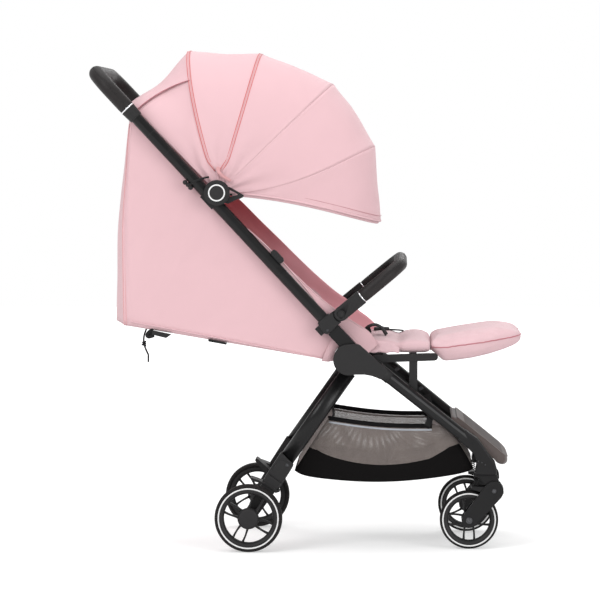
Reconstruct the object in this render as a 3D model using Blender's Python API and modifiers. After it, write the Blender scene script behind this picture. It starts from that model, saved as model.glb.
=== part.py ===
"""A compact folding stroller: +X forward, +Y to its left, +Z up, the origin on the floor under it."""

from math import acos, asin, atan2, cos, hypot, pi, radians, sin

import bmesh
import bpy
from mathutils import Matrix, Vector

# Clearances, in metres
SEAT_GAP = 0.0003
RUN_GAP = 0.0004

# Main hub, where both legs and the push frame meet
HUB_X = 0.0928
HUB_Z = 0.410
HUB_PIN_R = 0.006
HUB_DISC_R = 0.033
HUB_CAP_T = 0.010
HUB_TAPER = radians(17)
KNUCKLE_R = 0.030

# Push frame
PUSH_LEAN = radians(133.0)
PUSH_OFFSET = 0.019
PUSH_TUBE_R = 0.0125
PUSH_TUBE_Y = 0.199
PUSH_TUBE_START = 0.020
KNUCKLE_T = 0.026
SLEEVE_END = 0.066
SLEEVE_R = 0.0148

# Handle
COLLAR_LENGTH = 0.026
COLLAR_R = 0.0165
GRIP_R = 0.0165
GRIP_REACH = 0.828
NECK_LENGTH = 0.136
PUSH_TUBE_TOP = GRIP_REACH - NECK_LENGTH
COLLAR_OVERLAP = 0.010
GRIP_CORNER = 0.055
BUTTON_LENGTH = 0.034
BUTTON_WIDTH = 0.014
BUTTON_DEPTH = 0.0075
BUTTON_RISE = 0.0015
BUTTON_TRAVEL = 0.003

# Front legs
LEG_LEAN = radians(-38.7)
LEG_OFFSET = 0.023
LEG_TUBE_R = 0.0125
LEG_START = 0.078
LEG_END = 0.322
LEG_TOP_Y = 0.199
LEG_FOOT_Y = 0.161
LUG_STOP = LEG_TUBE_R + 0.0012

# Rear legs
REAR_LEAN = radians(-125.2)
REAR_OFFSET = 0.016
REAR_TUBE_R = 0.0125
REAR_SLEEVE = 0.052
REAR_END = 0.262
REAR_KNUCKLE_T = 0.0255
BRACKET_END_R = 0.021

# Wheels
WHEEL_STEPS = 30

# Rear wheels
REAR_AXLE_X = HUB_X - 0.213
REAR_WHEEL_R = 0.0725
REAR_WHEEL_HALF = 0.0165
REAR_WHEEL_Y = 0.2165
REAR_RIM_R = 0.063
REAR_RIM_OPEN = 0.052
REAR_HUB_R = 0.023
REAR_AXLE_R = 0.0045
CROSSBAR_X = HUB_X - 0.178
CROSSBAR_Z = 0.130
CROSSBAR_R = 0.010

# Front castors
CASTOR_X = HUB_X + 0.295
CASTOR_Y = 0.148
CASTOR_TOP = 0.160
FRONT_WHEEL_R = 0.063
FRONT_WHEEL_HALF = 0.013
FRONT_RIM_R = 0.0555
FRONT_RIM_OPEN = 0.044
FRONT_HUB_R = 0.013
FRONT_TRAIL = 0.038
FRONT_AXLE_R = 0.004
ARM_PIVOT_X = CASTOR_X + 0.015
ARM_PIVOT_Z = 0.126
ARM_PIVOT_PIN_R = 0.003
ARM_TOP_R = 0.021
ARM_END_R = 0.0165
ARM_T = 0.007
STEM_R = 0.006
STEM_LENGTH = 0.030
SPRING_R = 0.0045
SPRING_WIRE = 0.0008
SPRING_TURNS = 4
SPRING_STEPS = 8

# Canopy
HINGE_ALONG = 0.449
HINGE_OFFSET = 0.0365
HINGE_DISC_R = 0.0275
HINGE_PIN_R = 0.004
BOW_ANGLES = [radians(a) for a in (103.0, 74.0, 43.7, 16.3, -10.6)]
BOW_REACHES = [0.3065, 0.3045, 0.3305, 0.3415, 0.346]
BOW_WIDTH = 0.012
BOW_T = 0.0034
BOW_PITCH = 0.0040
BOW_FIRST_Y = 0.1800
BOW_EYE_R = 0.009
CLOTH_T = 0.0025
CANOPY_SAG = 0.010
ARCH_WIDE = 0.62
ARCH_TALL = 0.88
FLAP_ANGLE = radians(135.0)
FLAP_REACH = 0.266
FLAP_WIDE = 0.30
FLAP_TALL = 0.42
PANEL_START = 0.040

# Bumper bar
CLAMP_WALL = 0.0022
CLAMP_ALONG = 0.086
BUMPER_LEAN = radians(39.5)
BUMPER_PIVOT_OFFSET = 0.0544
BUMPER_LENGTH = 0.163
BUMPER_R = 0.0135
BUMPER_CORNER = 0.060
BUMPER_EYE_R = 0.0145
BUMPER_PIN_R = 0.0045
BUMPER_BUTTON_R = 0.008
BUMPER_BUTTON_T = 0.009

# Seat, leg rest and back
SEAT_REAR = HUB_X + 0.035
SEAT_CHANNEL = HUB_X + 0.105
SEAT_FRONT = HUB_X + 0.1725
SEAT_TOP = 0.450
SEAT_HALF = 0.170
SEAT_CROWN = 0.008
REST_HINGE_X = SEAT_FRONT + 0.0095
REST_HINGE_Z = SEAT_TOP - 0.037
REST_LENGTH = 0.196
REST_HALF = 0.150
RAIL_HEIGHT = 0.016
RAIL_REAR_X = HUB_X + 0.057
RAIL_Z = SEAT_TOP - 0.0415
RAIL_INNER_Y = 0.156
RAIL_T = 0.016
REST_PIN_R = 0.003
STRUT_X = HUB_X + 0.1375
STRUT_WIDTH = 0.017
BACK_PIVOT_X = HUB_X - 0.029
BACK_PIVOT_Z = 0.4300
BACK_LENGTH = 0.425
BACK_HALF = 0.157
BACK_RISE = 0.014
BACK_CROWN = 0.006
STRAP_WIDTH = 0.024
STRAP_T = 0.0024

# Back bag
BAG_EDGE_DROP = 0.004
BAG_WING = 0.022
BAG_ROUND = 0.034
BAG_BULGE = 0.010
BAG_BELOW_COLLAR = 0.022
BAG_TOP_ALONG = PUSH_TUBE_TOP - BAG_BELOW_COLLAR
BAG_FLAT = (0.93, 0.55, 0.18)
BAG_LOW_ALONG = 0.052
BAG_FRONT = (HUB_X - 0.055, 0.4115)
BAG_CORNER = (HUB_X - 0.476, 0.4870)
BAG_TOP = (HUB_X - 0.4615, 0.9470)

# Recline cord
CORD_Y = -0.110
CORD_R = 0.0019

# Basket
BASKET_HALF = 0.150
BASKET_TOP_REAR = (HUB_X - 0.043, 0.282)
BASKET_TOP_FRONT = (HUB_X + 0.177, 0.266)
BASKET_LOW_REAR = (HUB_X - 0.117, 0.158)
BASKET_LOW_FRONT = (BASKET_TOP_FRONT[0] + 0.073, 0.166)
BASKET_SAG = 0.018
BASKET_T = 0.0025
BASKET_SIDE_PARTS = (0.0, 0.35, 0.70, 1.0)
BASKET_FLOOR_PARTS = (0.80, 0.40)
FLOOR_DIP = 0.002

# Footrest
BOARD_START = 0.262
BOARD_END = 0.410
BOARD_HALF = 0.1275
BOARD_RISE = 0.002
BOARD_T = 0.020

# Places worked out from the sizes above
KNUCKLE_IN = PUSH_TUBE_Y - KNUCKLE_T / 2
KNUCKLE_OUT = PUSH_TUBE_Y + KNUCKLE_T / 2
REAR_KNUCKLE_OUT = KNUCKLE_IN - RUN_GAP
REAR_KNUCKLE_IN = REAR_KNUCKLE_OUT - REAR_KNUCKLE_T
REAR_TUBE_Y = (REAR_KNUCKLE_IN + REAR_KNUCKLE_OUT) / 2
CAP_IN = KNUCKLE_OUT + RUN_GAP
CAP_OUT = CAP_IN + HUB_CAP_T
SIDES = (("right", -1), ("left", 1))


def along(lean, offset, distance, side_shift=0.0):
    """A point at a distance from the hub down a line that passes it at an offset to its right."""
    x = HUB_X + distance * cos(lean) + (offset + side_shift) * sin(lean)
    z = HUB_Z + distance * sin(lean) - (offset + side_shift) * cos(lean)
    return x, z


def push_point(distance, offset=PUSH_OFFSET):
    return along(PUSH_LEAN, offset, distance)


def leg_point(distance, rise=0.0):
    """A point on the front leg's axis, or above it by rise."""
    return along(LEG_LEAN, -LEG_OFFSET, distance, -rise)


def leg_y(distance):
    share = (distance - LEG_START) / (LEG_END - LEG_START)
    return LEG_TOP_Y + share * (LEG_FOOT_Y - LEG_TOP_Y)


def rear_point(distance):
    return along(REAR_LEAN, -REAR_OFFSET, distance)


def rail_top(x):
    """The height of the seat rail's upper edge."""
    share = (x - RAIL_REAR_X) / (REST_HINGE_X - RAIL_REAR_X)
    return RAIL_Z + share * (REST_HINGE_Z - RAIL_Z) + RAIL_HEIGHT / 2


HINGE_X, HINGE_Z = push_point(HINGE_ALONG, HINGE_OFFSET)
BUMPER_X, BUMPER_Z = push_point(CLAMP_ALONG - 0.004, BUMPER_PIVOT_OFFSET)
BUTTON_FACE = GRIP_REACH - 2 * GRIP_R - BUTTON_RISE
BUMPER_ARM_Y = PUSH_TUBE_Y + 0.0065
BUMPER_EYE_IN = PUSH_TUBE_Y - 0.0035 + RUN_GAP
BUMPER_EYE_OUT = PUSH_TUBE_Y + 0.0165
ARM_PIVOT = (ARM_PIVOT_X, ARM_PIVOT_Z)
ARM_INNER = FRONT_WHEEL_HALF + 0.0016
FRONT_AXLE = (CASTOR_X - FRONT_TRAIL, FRONT_WHEEL_R * cos(pi / WHEEL_STEPS))
REAR_AXLE = (REAR_AXLE_X, REAR_WHEEL_R * cos(pi / WHEEL_STEPS))
SADDLE_Z = FRONT_AXLE[1] + FRONT_WHEEL_R + 0.0065
SADDLE_T = 0.006
SWIVEL_TOP = CASTOR_TOP - 0.0008
SPRING_SEAT = SWIVEL_TOP - 0.0045
SEAT_LOW = rail_top(SEAT_FRONT - 0.008) + SEAT_GAP
BACK_LEAN = atan2(BAG_CORNER[1] - BAG_FRONT[1], BAG_CORNER[0] - BAG_FRONT[0])
BACK_LIFT = (BACK_PIVOT_X - BAG_FRONT[0]) * sin(BACK_LEAN) - (BACK_PIVOT_Z - BAG_FRONT[1]) * cos(BACK_LEAN)
BACK_UNDER = BACK_LIFT - SEAT_GAP
BAG_HALF = PUSH_TUBE_Y - PUSH_TUBE_R - CLAMP_WALL - SEAT_GAP - CLOTH_T


# Scene and materials
for startup_object in list(bpy.data.objects):
    bpy.data.objects.remove(startup_object, do_unlink=True)


def collection(name):
    made = bpy.data.collections.new(name)
    bpy.context.scene.collection.children.link(made)
    return made


STROLLER = collection("stroller")
CUTTERS = collection("cutters")
CUTTERS.hide_render = True


def finish(name, colour, roughness, metallic=0.0):
    made = bpy.data.materials.new(name)
    made.use_nodes = True
    shader = made.node_tree.nodes["Principled BSDF"]
    shader.inputs["Base Color"].default_value = (*colour, 1.0)
    shader.inputs["Roughness"].default_value = roughness
    shader.inputs["Metallic"].default_value = metallic
    return made


FRAME_BLACK = finish("powder_coated_tube", (0.020, 0.020, 0.021), 0.42, 0.4)
PLASTIC_BLACK = finish("moulded_plastic", (0.022, 0.021, 0.022), 0.50)
GRIP_BLACK = finish("stitched_grip", (0.030, 0.026, 0.025), 0.62)
PINK = finish("pink_fabric", (0.84, 0.47, 0.52), 0.85)
MESH_FABRIC = finish("basket_mesh", (0.10, 0.085, 0.080), 0.80)
TYRE = finish("tyre_foam", (0.025, 0.023, 0.023), 0.75)
WEBBING = finish("black_webbing", (0.012, 0.012, 0.013), 0.80)
STEEL = finish("spring_steel", (0.10, 0.10, 0.11), 0.35, 1.0)
BOARD_GREY = finish("footrest_plastic", (0.12, 0.10, 0.10), 0.45)


# Modelling helpers
def placed(name, data, surface):
    """A new object in the stroller's collection."""
    made = bpy.data.objects.new(name, data)
    STROLLER.objects.link(made)
    if surface:
        made.data.materials.append(surface)
    return made


def arc(centre, radius, start, end, steps):
    """Points of an arc, both ends included."""
    turns = [start + (end - start) * step / steps for step in range(steps + 1)]
    return [(centre[0] + radius * cos(turn), centre[1] + radius * sin(turn)) for turn in turns]


def circle(centre, radius, steps):
    return arc(centre, radius, 0, 2 * pi * (steps - 1) / steps, steps - 1)


def link_outline(start, start_r, end, end_r, steps=8):
    """The outline round two circles and the straight flanks between them."""
    run = Vector(end) - Vector(start)
    lean = atan2(run.y, run.x)
    spread = acos((start_r - end_r) / run.length)
    back = arc(start, start_r, lean + spread, lean + 2 * pi - spread, steps)
    return back + arc(end, end_r, lean - spread, lean + spread, steps)


def box_outline(centre, length, height, lean=0.0):
    """A rectangle in the XZ plane, turned by lean."""
    ahead = Vector((cos(lean), sin(lean))) * length / 2
    up = Vector((-sin(lean), cos(lean))) * height / 2
    middle = Vector(centre)
    return [tuple(middle + ahead * a + up * b) for a, b in ((-1, -1), (1, -1), (1, 1), (-1, 1))]


def as_mesh(obj):
    """The object as a plain closed mesh, with its modifiers applied."""
    graph = bpy.context.evaluated_depsgraph_get()
    data = bpy.data.meshes.new_from_object(obj.evaluated_get(graph), depsgraph=graph)
    made = bpy.data.objects.new(obj.name, data)
    made.matrix_world = obj.matrix_world.copy()
    name = obj.name
    bpy.data.objects.remove(obj, do_unlink=True)
    made.name = name
    STROLLER.objects.link(made)
    shape = bmesh.new()
    shape.from_mesh(data)
    bmesh.ops.remove_doubles(shape, verts=shape.verts, dist=1e-6)
    bmesh.ops.dissolve_limit(shape, angle_limit=radians(0.5), verts=shape.verts, edges=shape.edges)
    bmesh.ops.recalc_face_normals(shape, faces=shape.faces)
    shape.to_mesh(data)
    shape.free()
    return made


def plate(name, outline, y_from, y_to, surface=None):
    """A flat outline of (x, z) points, as a solid between two Y planes."""
    curve = bpy.data.curves.new(name, "CURVE")
    curve.dimensions = "2D"
    curve.fill_mode = "BOTH"
    curve.extrude = abs(y_to - y_from) / 2
    spline = curve.splines.new("POLY")
    spline.points.add(len(outline) - 1)
    for point, (x, z) in zip(spline.points, outline):
        point.co = (x, z, 0, 1)
    spline.use_cyclic_u = True
    made = placed(name, curve, surface)
    made.rotation_euler.x = pi / 2
    made.location.y = (y_from + y_to) / 2
    bpy.context.view_layer.update()
    return as_mesh(made)


def cylinder(name, start, end, radius, surface=None, sides=16, end_radius=None):
    """A round bar, or a cone, between two points."""
    start = Vector(start)
    end = Vector(end)
    run = end - start
    shape = bmesh.new()
    bmesh.ops.create_cone(
        shape,
        cap_ends=True,
        segments=sides,
        radius1=radius,
        radius2=radius if end_radius is None else end_radius,
        depth=run.length,
    )
    turn = run.to_track_quat("Z", "Y").to_matrix().to_4x4()
    bmesh.ops.transform(shape, matrix=Matrix.Translation((start + end) / 2) @ turn, verts=shape.verts)
    data = bpy.data.meshes.new(name)
    shape.to_mesh(data)
    shape.free()
    return placed(name, data, surface)


def block(name, low, high, surface=None):
    """A box between two corners."""
    low = Vector(low)
    high = Vector(high)
    shape = bmesh.new()
    bmesh.ops.create_cube(shape, size=1)
    size = Matrix.Diagonal((*(high - low), 1))
    bmesh.ops.transform(shape, matrix=Matrix.Translation((low + high) / 2) @ size, verts=shape.verts)
    data = bpy.data.meshes.new(name)
    shape.to_mesh(data)
    shape.free()
    return placed(name, data, surface)


def turned(name, profile, steps, surface=None, ring=False):
    """A profile of (radius, height) points, outer side first from the top down, turned about Z."""
    data = bpy.data.meshes.new(name)
    edges = [(i, i + 1) for i in range(len(profile) - 1)]
    if ring:
        edges.append((len(profile) - 1, 0))
    data.from_pydata([(radius, 0, height) for radius, height in profile], edges, [])
    made = placed(name, data, surface)
    screw = made.modifiers.new("turn", "SCREW")
    screw.axis = "Z"
    screw.steps = steps
    screw.render_steps = steps
    screw.use_merge_vertices = True
    screw.merge_threshold = 0.00001
    return as_mesh(made)


def tube_along(name, points, radius, surface=None, resolution=2, extrude=0.0):
    """A closed tube, or a flat bow where extrude widens it, through points in its own plane or in space."""
    curve = bpy.data.curves.new(name, "CURVE")
    curve.dimensions = "3D"
    curve.fill_mode = "FULL"
    curve.bevel_depth = radius
    curve.bevel_resolution = resolution
    curve.extrude = extrude
    curve.twist_mode = "Z_UP" if extrude else "MINIMUM"
    curve.use_fill_caps = True
    spline = curve.splines.new("POLY")
    spline.points.add(len(points) - 1)
    for point, place in zip(spline.points, points):
        point.co = (*place, 1)
    return placed(name, curve, surface)


def sheet(name, rows, thickness, surface=None, offset=-1.0, end_rungs=0):
    """A cloth wall through rows of points, thickened to one side, its two end rows closed if asked for."""
    count = len(rows[0])
    points = [point for row in rows for point in row]
    faces = []
    for i in range(len(rows) - 1):
        for j in range(count - 1):
            corner = i * count + j
            faces.append((corner, corner + 1, corner + count + 1, corner + count))
    if end_rungs:
        first = list(range(count))
        last = [(len(rows) - 1) * count + j for j in range(count)]
        for k in range(end_rungs):
            faces.append((first[k], first[-1 - k], first[-2 - k], first[k + 1]))
            faces.append((last[k], last[k + 1], last[-2 - k], last[-1 - k]))
        faces.append(tuple(reversed(first[end_rungs : count - end_rungs])))
        faces.append(tuple(last[end_rungs : count - end_rungs]))
    data = bpy.data.meshes.new(name)
    data.from_pydata(points, [], faces)
    made = placed(name, data, surface)
    wall = made.modifiers.new("cloth", "SOLIDIFY")
    wall.thickness = thickness
    wall.offset = offset
    wall.use_even_offset = True
    return as_mesh(made)


def loft(name, rings, surface=None):
    """A closed solid through rings of equally many points, capped at both ends."""
    count = len(rings[0])
    shape = bmesh.new()
    loops = [[shape.verts.new(point) for point in ring] for ring in rings]
    for first, second in zip(loops, loops[1:]):
        for i in range(count):
            j = (i + 1) % count
            shape.faces.new((first[i], first[j], second[j], second[i]))
    shape.faces.new(loops[0])
    shape.faces.new(loops[-1])
    bmesh.ops.recalc_face_normals(shape, faces=shape.faces)
    data = bpy.data.meshes.new(name)
    shape.to_mesh(data)
    shape.free()
    return placed(name, data, surface)


def cut_with(target, tool, operation):
    tool.name = "cutter_" + tool.name
    STROLLER.objects.unlink(tool)
    CUTTERS.objects.link(tool)
    tool.display_type = "WIRE"
    tool.hide_render = True
    step = target.modifiers.new(operation.lower(), "BOOLEAN")
    step.operation = operation
    step.solver = "EXACT"
    step.object = tool
    return target


def fuse(target, *tools):
    for tool in tools:
        cut_with(target, tool, "UNION")
    return target


def carve(target, *tools):
    for tool in tools:
        cut_with(target, tool, "DIFFERENCE")
    return target


def soften(target, width, segments=1, angle=40):
    """Rounds the sharp edges."""
    edge = target.modifiers.new("edges", "BEVEL")
    edge.width = width
    edge.segments = segments
    edge.limit_method = "ANGLE"
    edge.angle_limit = radians(angle)
    return target


def smooth(target, angle=35):
    if target.type == "MESH":
        target.data.shade_smooth()
        target.data.set_sharp_from_angle(angle=radians(angle))
    return target


def joint_empty(name, place, parent=None):
    """The empty on a joint's axis that carries the pieces of one moving body."""
    empty = bpy.data.objects.new(name, None)
    empty.empty_display_size = 0.03
    STROLLER.objects.link(empty)
    if parent:
        empty.parent = parent
        empty.matrix_parent_inverse = parent.matrix_world.inverted()
    empty.location = place
    bpy.context.view_layer.update()
    return empty


def carried_by(empty, *pieces):
    for piece in pieces:
        piece.parent = empty
        piece.matrix_parent_inverse = empty.matrix_world.inverted()


# Front frame
def hub_housing(name, side):
    """The hub's outer cap with its pin, and the socket that holds the front leg."""
    neck = leg_point(LEG_START + 0.015)
    cap = plate(
        name,
        link_outline((HUB_X, HUB_Z), HUB_DISC_R, neck, LEG_TUBE_R, 10),
        side * CAP_IN,
        side * CAP_OUT,
        PLASTIC_BLACK,
    )
    soften(cap, 0.002)
    cap = as_mesh(cap)
    socket = plate(
        name + "_socket",
        link_outline(leg_point(0.052), LEG_TUBE_R, neck, LEG_TUBE_R),
        side * KNUCKLE_IN,
        side * (CAP_IN + 0.001),
    )
    beyond = plate(
        name + "_end",
        box_outline(leg_point(LEG_START + 0.030), 0.060, 0.060, LEG_LEAN),
        side * (KNUCKLE_IN - 0.01),
        side * (CAP_OUT + 0.01),
    )
    taper = block(name + "_taper", (-0.045, -0.020, -0.040), (0.045, 0.020, 0.040))
    leg_frame = Matrix.Rotation(-LEG_LEAN, 4, "Y")
    edge_x, edge_z = leg_point(LEG_START)
    edge = Matrix.Translation((edge_x, side * (KNUCKLE_OUT + 0.0005), edge_z))
    slope = Matrix.Rotation(-side * HUB_TAPER, 4, "Z")
    taper.matrix_world = edge @ leg_frame @ slope @ Matrix.Translation((-0.020, side * 0.020, 0))
    pin = cylinder(
        name + "_pin",
        (HUB_X, side * (CAP_IN + 0.001), HUB_Z),
        (HUB_X, side * (REAR_KNUCKLE_IN - 0.0015), HUB_Z),
        HUB_PIN_R,
        sides=20,
    )
    return smooth(fuse(carve(fuse(cap, socket), beyond, taper), pin))


def front_leg(name, side):
    """The leg tube, its upper end cut square to the housing's seam."""
    start_x, start_z = leg_point(LEG_START - 0.010)
    end_x, end_z = leg_point(LEG_END)
    tube = cylinder(
        name,
        (start_x, side * leg_y(LEG_START - 0.010), start_z),
        (end_x, side * LEG_FOOT_Y, end_z),
        LEG_TUBE_R,
        FRAME_BLACK,
    )
    before = plate(
        name + "_end",
        box_outline(leg_point(LEG_START + SEAT_GAP - 0.030), 0.060, 0.060, LEG_LEAN),
        side * (LEG_TOP_Y - 0.030),
        side * (LEG_TOP_Y + 0.030),
    )
    return smooth(carve(tube, before))


def front_foot(name, side):
    """The casting at the leg's end that holds the castor's stem."""
    inner = side * (CASTOR_Y - 0.018)
    outer = side * (LEG_FOOT_Y + LEG_TUBE_R + 0.001)
    low = CASTOR_TOP
    shoulder = leg_point(LEG_END - 0.006, 0.0135)
    heel = leg_point(LEG_END - 0.006, -0.0135)
    outline = [
        (CASTOR_X - 0.022, low),
        (CASTOR_X + 0.022, low),
        (CASTOR_X + 0.0225, low + 0.024),
        (CASTOR_X + 0.016, low + 0.034),
        shoulder,
        heel,
        (CASTOR_X - 0.030, low + 0.026),
    ]
    foot = plate(name, outline, inner, outer, PLASTIC_BLACK)
    soften(foot, 0.003)
    foot = as_mesh(foot)
    end_x, end_z = leg_point(LEG_END + SEAT_GAP)
    start_x, start_z = leg_point(LEG_END - 0.060)
    tube = cylinder(
        name + "_socket",
        (start_x, side * leg_y(LEG_END - 0.060), start_z),
        (end_x, side * leg_y(LEG_END + SEAT_GAP), end_z),
        LEG_TUBE_R + SEAT_GAP,
    )
    bore = cylinder(
        name + "_bore",
        (CASTOR_X, side * CASTOR_Y, low - 0.010),
        (CASTOR_X, side * CASTOR_Y, low + STEM_LENGTH - 0.004),
        STEM_R + SEAT_GAP + 0.0002,
        sides=20,
    )
    return smooth(carve(foot, tube, bore))


def seat_rail(name, side):
    """The rail under the seat with its strut down to the leg and its boss on the hub housing."""
    rail_end = (REST_HINGE_X, REST_HINGE_Z)
    rail_start = (RAIL_REAR_X, RAIL_Z)
    inner = side * RAIL_INNER_Y
    outer = side * (RAIL_INNER_Y + RAIL_T)
    outline = link_outline(rail_start, RAIL_HEIGHT / 2, rail_end, RAIL_HEIGHT / 2 - 0.0001, 5)
    rail = plate(name, outline, inner, outer, PLASTIC_BLACK)
    boss = cylinder(
        name + "_boss",
        (RAIL_REAR_X + 0.005, side * (RAIL_INNER_Y + 0.002), RAIL_Z - 0.014),
        (RAIL_REAR_X + 0.005, side * (KNUCKLE_IN - SEAT_GAP), RAIL_Z - 0.014),
        0.010,
        sides=12,
    )
    reach = (STRUT_X - leg_point(0.0)[0]) / cos(LEG_LEAN)
    foot_z = leg_point(reach)[1]
    strut = plate(
        name + "_strut",
        box_outline((STRUT_X, (RAIL_Z + foot_z) / 2 - 0.004), STRUT_WIDTH, RAIL_Z - foot_z + 0.008),
        side * (RAIL_INNER_Y + 0.002),
        side * (RAIL_INNER_Y + RAIL_T - 0.002),
    )
    lug = cylinder(
        name + "_lug",
        (STRUT_X, side * (RAIL_INNER_Y + 0.004), foot_z),
        (STRUT_X, side * (leg_y(reach) - LUG_STOP), foot_z),
        0.007,
        sides=12,
    )
    slot = plate(
        name + "_slot",
        box_outline((REST_HINGE_X + 0.005, REST_HINGE_Z), 0.030, 0.040),
        side * (RAIL_INNER_Y - 0.001),
        side * (RAIL_INNER_Y + 0.004),
    )
    pin = cylinder(
        name + "_pin",
        (REST_HINGE_X, side * (RAIL_INNER_Y + 0.008), REST_HINGE_Z),
        (REST_HINGE_X, side * (RAIL_INNER_Y - 0.012), REST_HINGE_Z),
        REST_PIN_R,
        sides=12,
    )
    return smooth(fuse(carve(fuse(rail, boss, strut, lug), slot), pin))


def footrest():
    """The moulded board between the front legs, with a raised rim and grip ribs."""
    rear = BOARD_START
    front = BOARD_END
    top = BOARD_RISE + BOARD_T
    outline = [
        leg_point(rear, BOARD_RISE + 0.006),
        leg_point(front - 0.030, BOARD_RISE - 0.002),
        leg_point(front - 0.012, BOARD_RISE - 0.004),
        leg_point(front - 0.002, BOARD_RISE + 0.001),
        leg_point(front, BOARD_RISE + 0.009),
        leg_point(front - 0.008, top - 0.003),
        leg_point(front - 0.030, top),
        leg_point(rear + 0.010, top),
        leg_point(rear, top - 0.004),
    ]
    board = plate("footrest", outline, -BOARD_HALF, BOARD_HALF, BOARD_GREY)
    soften(board, 0.003)
    board = as_mesh(board)
    recess_from = leg_point(rear + 0.014, top + 0.003)
    recess_to = leg_point(front - 0.030, top + 0.003)
    middle = ((recess_from[0] + recess_to[0]) / 2, (recess_from[1] + recess_to[1]) / 2)
    length = hypot(recess_to[0] - recess_from[0], recess_to[1] - recess_from[1])
    recess = plate(
        "footrest_recess",
        box_outline(middle, length, 0.014, LEG_LEAN),
        -BOARD_HALF + 0.012,
        BOARD_HALF - 0.012,
    )
    carve(board, recess)
    board = as_mesh(board)
    for index in range(4):
        spot = leg_point(rear + 0.030 + index * 0.022, top - 0.0035)
        rib = plate(
            f"footrest_rib_{index}",
            box_outline(spot, 0.005, 0.004, LEG_LEAN),
            -BOARD_HALF + 0.022,
            BOARD_HALF - 0.022,
        )
        fuse(board, rib)
    board = as_mesh(board)
    for label, side in SIDES:
        spot = leg_point(BOARD_START + 0.025)
        reach = leg_y(BOARD_START + 0.025) - LUG_STOP
        lug = cylinder(
            "footrest_lug_" + label,
            (spot[0], side * (BOARD_HALF - 0.012), spot[1] + 0.004),
            (spot[0], side * reach, spot[1]),
            0.008,
            sides=12,
        )
        fuse(board, lug)
    return smooth(board)


# Wheels
def tyre(name, outer_r, inner_r, half):
    profile = [
        (inner_r, half * 0.80),
        (inner_r + (outer_r - inner_r) * 0.45, half),
        (outer_r - 0.0035, half * 0.86),
        (outer_r, half * 0.55),
        (outer_r, -half * 0.55),
        (outer_r - 0.0035, -half * 0.86),
        (inner_r + (outer_r - inner_r) * 0.45, -half),
        (inner_r, -half * 0.80),
    ]
    return turned(name, profile, WHEEL_STEPS, TYRE, ring=True)


def rim(name, outer_r, open_r, half, hub_r, hub_half, bore_r, first_spoke, cap_rise):
    """A wheel's moulded centre: a ring, four pairs of thin spokes and the hub."""
    ring_profile = [
        (outer_r, half * 0.80),
        (outer_r, -half * 0.80),
        (open_r + 0.0015, -half * 0.80),
        (open_r, half * 0.45),
        (open_r + 0.004, half * 0.80),
    ]
    wheel = turned(name, ring_profile, WHEEL_STEPS, PLASTIC_BLACK, ring=True)
    hub = turned(
        name + "_hub",
        [
            (hub_r - 0.002, hub_half + cap_rise),
            (hub_r, hub_half + cap_rise - 0.0015),
            (hub_r, half * 0.20),
            (0.012, -hub_half),
            (bore_r, -hub_half),
            (bore_r, hub_half + cap_rise),
        ],
        16,
        ring=True,
    )
    fuse(wheel, hub)
    for pair in range(4):
        for offset in (-0.011, 0.011):
            lean = first_spoke + pair * pi / 2
            start = Vector((hub_r - 0.004, offset * 0.72))
            end = Vector((open_r + 0.002, offset))
            turn = Matrix.Rotation(lean, 2)
            spoke = block(
                f"{name}_spoke_{pair}_{offset > 0}",
                (0, -0.0016, -half * 0.42),
                ((end - start).length, 0.0016, half * 0.42),
            )
            run = turn @ (end - start)
            foot = turn @ start
            spoke.matrix_world = Matrix.Translation((foot.x, foot.y, 0)) @ Matrix.Rotation(
                atan2(run.y, run.x), 4, "Z"
            )
            fuse(wheel, spoke)
    bpy.context.view_layer.update()
    return as_mesh(wheel)


def stand_up(piece, side, place):
    """Turns a piece made about +Z so that +Z points outboard, and puts it in its place."""
    piece.matrix_world = Matrix.Translation(place) @ Matrix.Rotation(-side * pi / 2, 4, "X")
    return smooth(piece)


# Front castor
def castor_swivel(name, side):
    """The block that turns under the foot, with its stem, pivot lug and spring seat."""
    half = ARM_INNER - RUN_GAP
    middle = side * CASTOR_Y
    top = SWIVEL_TOP
    outline = [
        (CASTOR_X - 0.028, top),
        (CASTOR_X - 0.028, SPRING_SEAT),
        (CASTOR_X - 0.0165, SPRING_SEAT),
        (CASTOR_X - 0.0140, top - 0.0075),
        (CASTOR_X - 0.002, top - 0.022),
        *arc(ARM_PIVOT, 0.0105, radians(195), radians(360), 8),
        (CASTOR_X + 0.0255, top - 0.012),
        (CASTOR_X + 0.021, top),
    ]
    body = plate(name, outline, middle - half, middle + half, PLASTIC_BLACK)
    stem = cylinder(
        name + "_stem",
        (CASTOR_X, middle, top - 0.004),
        (CASTOR_X, middle, CASTOR_TOP + STEM_LENGTH - 0.006),
        STEM_R,
        sides=16,
    )
    bore = cylinder(
        name + "_bore",
        (ARM_PIVOT_X, middle - half - 0.01, ARM_PIVOT_Z),
        (ARM_PIVOT_X, middle + half + 0.01, ARM_PIVOT_Z),
        ARM_PIVOT_PIN_R + SEAT_GAP,
        sides=12,
    )
    return smooth(carve(fuse(body, stem), bore))


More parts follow.
